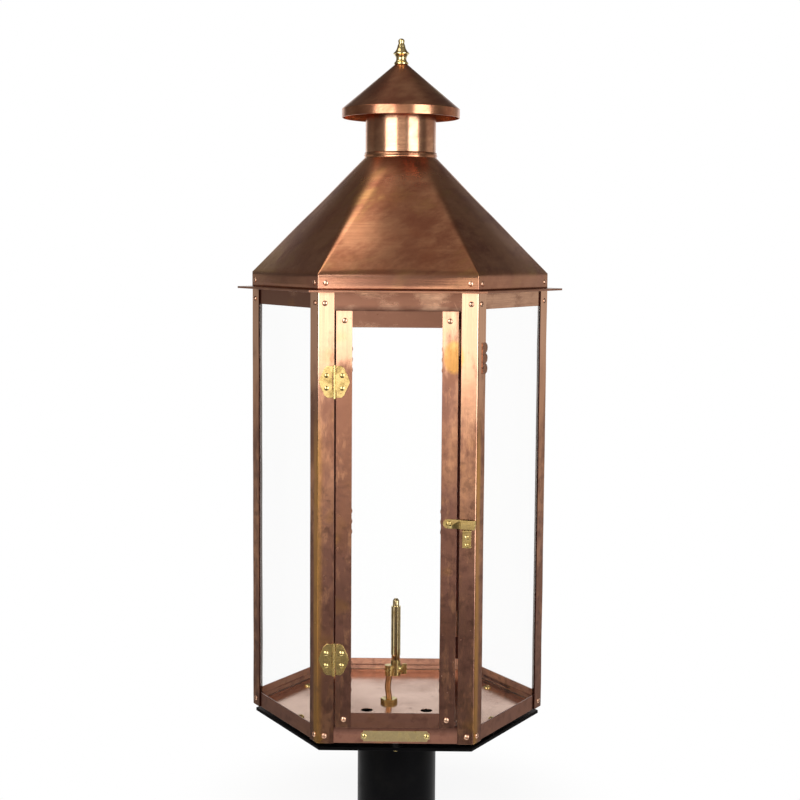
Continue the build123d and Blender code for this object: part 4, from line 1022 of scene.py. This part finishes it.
def hood_form():
    """The outer face of the hood, from the skirt's lip over the fold up to the collar's rim."""
    form = bmesh.new()
    columns = hood_columns()
    top_radius = collar_radius + COLLAR_STEP
    rows = []
    for row in range(SKIRT_ROWS):
        share = row / SKIRT_ROWS
        z = hood_low.z + (SKIRT_HEIGHT - FOLD_GAP) * share
        lean = SKIRT_LEAN * (1 - share) - LIP_TUCK * max(0, 1 - share / LIP_SHARE)
        ring = []
        for point, _, flat in columns:
            out = point.normalized()
            dent = LIP_DENT * noise.noise(Vector((*point, z)) / LIP_DENT_LENGTH) * (1 - share)
            x, y = point + out * (lean - abs(dent) + HOOD_PILLOW * HOOD_BOW) * flat
            ring.append(form.verts.new((x, y, z)))
        rows.append(ring)
    for row in range(SLOPE_ROWS + 1):
        share = row / SLOPE_ROWS
        ring = []
        for point, angle, flat in columns:
            high = heading(angle) * top_radius
            x, y = point.lerp(high, share)
            z = fold_height + (slope_top - fold_height) * share
            bulge = min(1, share * BOW_FADES)
            bulge = HOOD_BOW + (1 - HOOD_BOW) * bulge * bulge * (3 - 2 * bulge)
            pillow = HOOD_PILLOW * flat * bulge * (1 - share)
            place = Vector((x, y, z))
            dent = HOOD_DENT * noise.noise(place / HOOD_DENT_LENGTH) * math.sin(math.pi * share)
            out = Vector((x, y, 0)).normalized() * SLOPE_LEVEL + Vector((0, 0, SLOPE_UP))
            ring.append(form.verts.new(place + out * (pillow + dent)))
        rows.append(ring)
    for proud, rise in COLLAR_BEAD:
        radius = collar_radius + proud
        ring = [
            form.verts.new((radius * math.cos(angle), radius * math.sin(angle), slope_top + rise))
            for _, angle, _ in columns
        ]
        rows.append(ring)
    count = len(columns)
    slit = (CORNER_COLUMNS // 2 - 1, CORNER_COLUMNS // 2)
    for row, (ring, above) in enumerate(zip(rows, rows[1:])):
        for column in range(count):
            if row < SKIRT_ROWS - 1 and column % (CORNER_COLUMNS + FLAT_COLUMNS) in slit:
                continue
            after = (column + 1) % count
            form.faces.new((ring[column], ring[after], above[after], above[column]))
    bmesh.ops.recalc_face_normals(form, faces=form.faces)
    return form


hood = shown("folded_hood", hood_form(), roof_metal)
wall = hood.modifiers.new("wall", "SOLIDIFY")
wall.thickness = HOOD_SHEET
wall.offset = -1
wall.use_even_offset = True
settled(hood)
fitted(hood, "roof_hood")


# Chimney. A rolled copper tube that slides down inside the collar. A riveted bracket across
# its mouth carries the threaded rod that holds the rain cap.
TUBE_SHEET = 0.8 * mm
TUBE_EDGE = 0.2 * mm
ARC_STEPS = 3
LONGEST_CUT = 0.45
CHIMNEY_OUTER = 36.0 * mm
CHIMNEY_LIGHT = (0.82, 0.47, 0.29)
CHIMNEY_BROWN = (0.50, 0.245, 0.15)


def rounded_corners(outline, radius):
    """A closed outline of (x, y) corners with each corner taken off by a small arc."""
    points = []
    count = len(outline)
    for index, corner in enumerate(outline):
        here = Vector(corner)
        before = Vector(outline[index - 1]) - here
        after = Vector(outline[(index + 1) % count]) - here
        cut = min(radius, before.length * LONGEST_CUT, after.length * LONGEST_CUT)
        start = here + before.normalized() * cut
        end = here + after.normalized() * cut
        for step in range(ARC_STEPS + 1):
            t = step / ARC_STEPS
            points.append(start * (1 - t) ** 2 + here * 2 * t * (1 - t) + end * t**2)
    return points


tube_outline = [
    (CHIMNEY_OUTER, collar_low.z),
    (CHIMNEY_OUTER, collar_top.z),
    (CHIMNEY_OUTER - TUBE_SHEET, collar_top.z),
    (CHIMNEY_OUTER - TUBE_SHEET, collar_low.z),
]
chimney_metal = roof_copper("chimney_copper", CHIMNEY_LIGHT, CHIMNEY_BROWN, rough=0.15)
chimney_form = turned(rounded_corners(tube_outline, TUBE_EDGE), segments=128)
chimney = shown("rolled_chimney", chimney_form, chimney_metal)
fitted(chimney, "chimney_tube")

dressed("bracket_and_rivets", "cap_bracket", roof_metal, edge=0.2 * mm, shortest=3 * mm)
dressed("threaded_rod_and_nuts", "cap_rod", brass, edge=0.2 * mm, shortest=3 * mm)


# Rain cap. A spun copper cone with an upright rim that keeps the rain out of the chimney.
# The rod carries it, and the finial clamps it down.
cap_low, cap_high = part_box("rain_cap")
CAP_SHEET = 1.0 * mm
CAP_RIM = 9.0 * mm
CAP_TOP_RADIUS = 6.3 * mm
CAP_HOLE = 2.5 * mm
CAP_LAP = 0.4 * mm
CAP_EDGE = 0.35 * mm
cap_radius = cap_high.x
rim_top = cap_low.z + CAP_RIM
cap_outline = [
    (CAP_HOLE, cap_high.z),
    (CAP_TOP_RADIUS, cap_high.z),
    (cap_radius, rim_top),
    (cap_radius, cap_low.z),
    (cap_radius - CAP_SHEET, cap_low.z),
    (cap_radius - CAP_SHEET, rim_top - CAP_LAP),
    (CAP_TOP_RADIUS - CAP_LAP, cap_high.z - CAP_SHEET),
    (CAP_HOLE, cap_high.z - CAP_SHEET),
]
cap_form = turned(rounded_corners(cap_outline, CAP_EDGE), segments=144)
cap = shown("spun_cap", cap_form, roof_metal, sharp=60)
fitted(cap, "rain_cap")


# Finial. A small ornament turned from brass bar, drilled and tapped from below, and screwed
# down on the rod that stands up through the rain cap.
FINIAL_BRASS = (0.86, 0.72, 0.36)
finial_metal = old_brass("turned_brass", FINIAL_BRASS, BRASS_AGED, rough=0.15)
dressed("turned_finial", "finial", finial_metal, edge=0.05 * mm, shortest=6 * mm, sharp=35)


# Studio. A small round of white card under the lantern takes its shadow, and fades into
# plain white before its rim.
FLOOR_RADIUS = 0.27
FLOOR_DROP = 0.3 * mm
FLOOR_WHITE = (0.9, 0.9, 0.9)
FLOOR_PLAIN = 0.92
FADE_START = 0.10
FADE_END = 0.26


def studio_floor():
    """White card that takes a faint shadow near the lantern and is plain white at its rim."""
    material, shader, place = new_finish("studio_floor")
    feed(shader, Base_Color=(*FLOOR_WHITE, 1), Roughness=0.9)
    distance = place.node("ShaderNodeVectorMath", {"operation": "LENGTH"}, {0: place}, "Value")
    plain = place.node("ShaderNodeEmission", {}, {"Color": (1, 1, 1, 1), "Strength": 1.0})
    rim = distance.step(FADE_START, FADE_END)
    mix_in(shader, plain, FLOOR_PLAIN + rim * (1 - FLOOR_PLAIN))
    return material


floor_form = bmesh.new()
bmesh.ops.create_circle(floor_form, cap_ends=True, segments=96, radius=FLOOR_RADIUS)
bmesh.ops.translate(floor_form, verts=floor_form.verts, vec=(0, 0, -FLOOR_DROP))
studio = shown("studio_floor", floor_form, studio_floor())


# Lamps. Two tall soft boxes in front, left and right, both turned to the middle of the
# lantern.
LAMP_AIM = Vector((0, 0, 0.55))
LAMP_AWAY = 2.0
LAMP_BRIGHTNESS = 3.6


def direction(azimuth, elevation):
    """The direction of a place in degrees, 0 and 0 being level and in front."""
    a, e = math.radians(azimuth), math.radians(elevation)
    return math.sin(a) * math.cos(e), -math.cos(a) * math.cos(e), math.sin(e)


def soft_box(name, azimuth, elevation, size):
    """An area lamp of a width and a height that faces the lantern from a direction."""
    lamp = bpy.data.lights.new(name, "AREA")
    lamp.shape = "RECTANGLE"
    lamp.size, lamp.size_y = size
    lamp.energy = LAMP_BRIGHTNESS * math.pi * size[0] * size[1]
    aimed = bpy.data.objects.new(name, lamp)
    away = Vector(direction(azimuth, elevation))
    aimed.location = LAMP_AIM + away * LAMP_AWAY
    aimed.rotation_euler = away.to_track_quat("Z", "Y").to_euler()
    scene.collection.objects.link(aimed)


soft_box("soft_box_left", azimuth=-30.5, elevation=14, size=(1.30, 1.5))
soft_box("soft_box_right", azimuth=42.5, elevation=6, size=(1.10, 1.9))


# Room. Dim and warm round the lantern, brighter low in front, with a white backdrop behind
# that shows in the metal and the glass. The camera sees plain white all round.
world = bpy.data.worlds.new("studio_room")
world.use_nodes = True
scene.world = world
world.node_tree.nodes.clear()
sky = Link(world.node_tree)
way = sky.node("ShaderNodeTexCoord", output="Generated")
axes = {name: way.node("ShaderNodeSeparateXYZ", {}, {0: way}, name) for name in "XYZ"}
azimuth = sky.maths("ARCTAN2", axes["X"], axes["Y"] * -1.0) * (180 / math.pi)
elevation = sky.maths("ARCSINE", axes["Z"]) * (180 / math.pi)


def patch(across, half_width, up, half_height, softness):
    """A soft-edged patch of the room, by direction in degrees."""
    beside = abs(azimuth - across).step(half_width + softness, half_width - softness)
    above = abs(elevation - up).step(half_height + softness, half_height - softness)
    return beside * above


def toward(azimuth, elevation, half_width, softness):
    """A soft-edged round patch of the room, by the direction of its middle in degrees."""
    ways = {0: way, 1: direction(azimuth, elevation)}
    nearness = sky.node("ShaderNodeVectorMath", {"operation": "DOT_PRODUCT"}, ways, "Value")
    edge = math.cos(math.radians(half_width + softness))
    return nearness.step(edge, math.cos(math.radians(half_width - softness)))


horizon = abs(azimuth).step(26, 8) * elevation.step(-15, -1.5) ** 2.2 * elevation.step(3, -1)
upper_front = abs(azimuth).step(110, 60) * elevation.step(-2, 10) * elevation.step(75, 40)
left_side = patch(-118, half_width=20, up=-7, half_height=9, softness=5)
right_side = patch(115, half_width=22, up=-2, half_height=16, softness=10)
high_left = toward(-72, 61, half_width=19, softness=6)
high_right = toward(70, 62, half_width=20, softness=12)
overhead = toward(180, 84, half_width=22, softness=12)
low_left = patch(-44, half_width=20, up=-20, half_height=10, softness=6)
low_right = patch(44, half_width=20, up=-20, half_height=10, softness=6)
room = 0.1 + horizon * 2.5 + upper_front * 0.12
room = room + left_side * 0.22 + right_side * 0.4 + high_left * 1.7 + high_right * 0.16
room = room + overhead * 0.1 + low_left * 0.6 + low_right * 0.4
backdrop = abs(azimuth).step(136, 154) * elevation.step(24, 10)
from_camera = sky.node("ShaderNodeLightPath", output="Is Camera Ray")
glossy = sky.node("ShaderNodeLightPath", output="Is Glossy Ray")
through_glass = sky.node("ShaderNodeLightPath", output="Is Transmission Ray")
direct = 1 - sky.node("ShaderNodeLightPath", output="Glossy Depth").step(0.4, 0.6)
in_view = from_camera + through_glass * direct
bounced = glossy + through_glass * (1 - direct)
white = sky.maths("MINIMUM", in_view + bounced * backdrop, 1.0)
dim = sky.node("ShaderNodeBackground", {}, {"Color": (1.0, 0.87, 0.78, 1), "Strength": room})
plain_white = sky.node("ShaderNodeBackground", {}, {"Color": (1, 1, 1, 1), "Strength": 1.0})
both = sky.node("ShaderNodeMixShader", {}, {0: white, 1: dim, 2: plain_white})
sky.node("ShaderNodeOutputWorld", {}, {"Surface": both})
scene.view_settings.view_transform = "Standard"
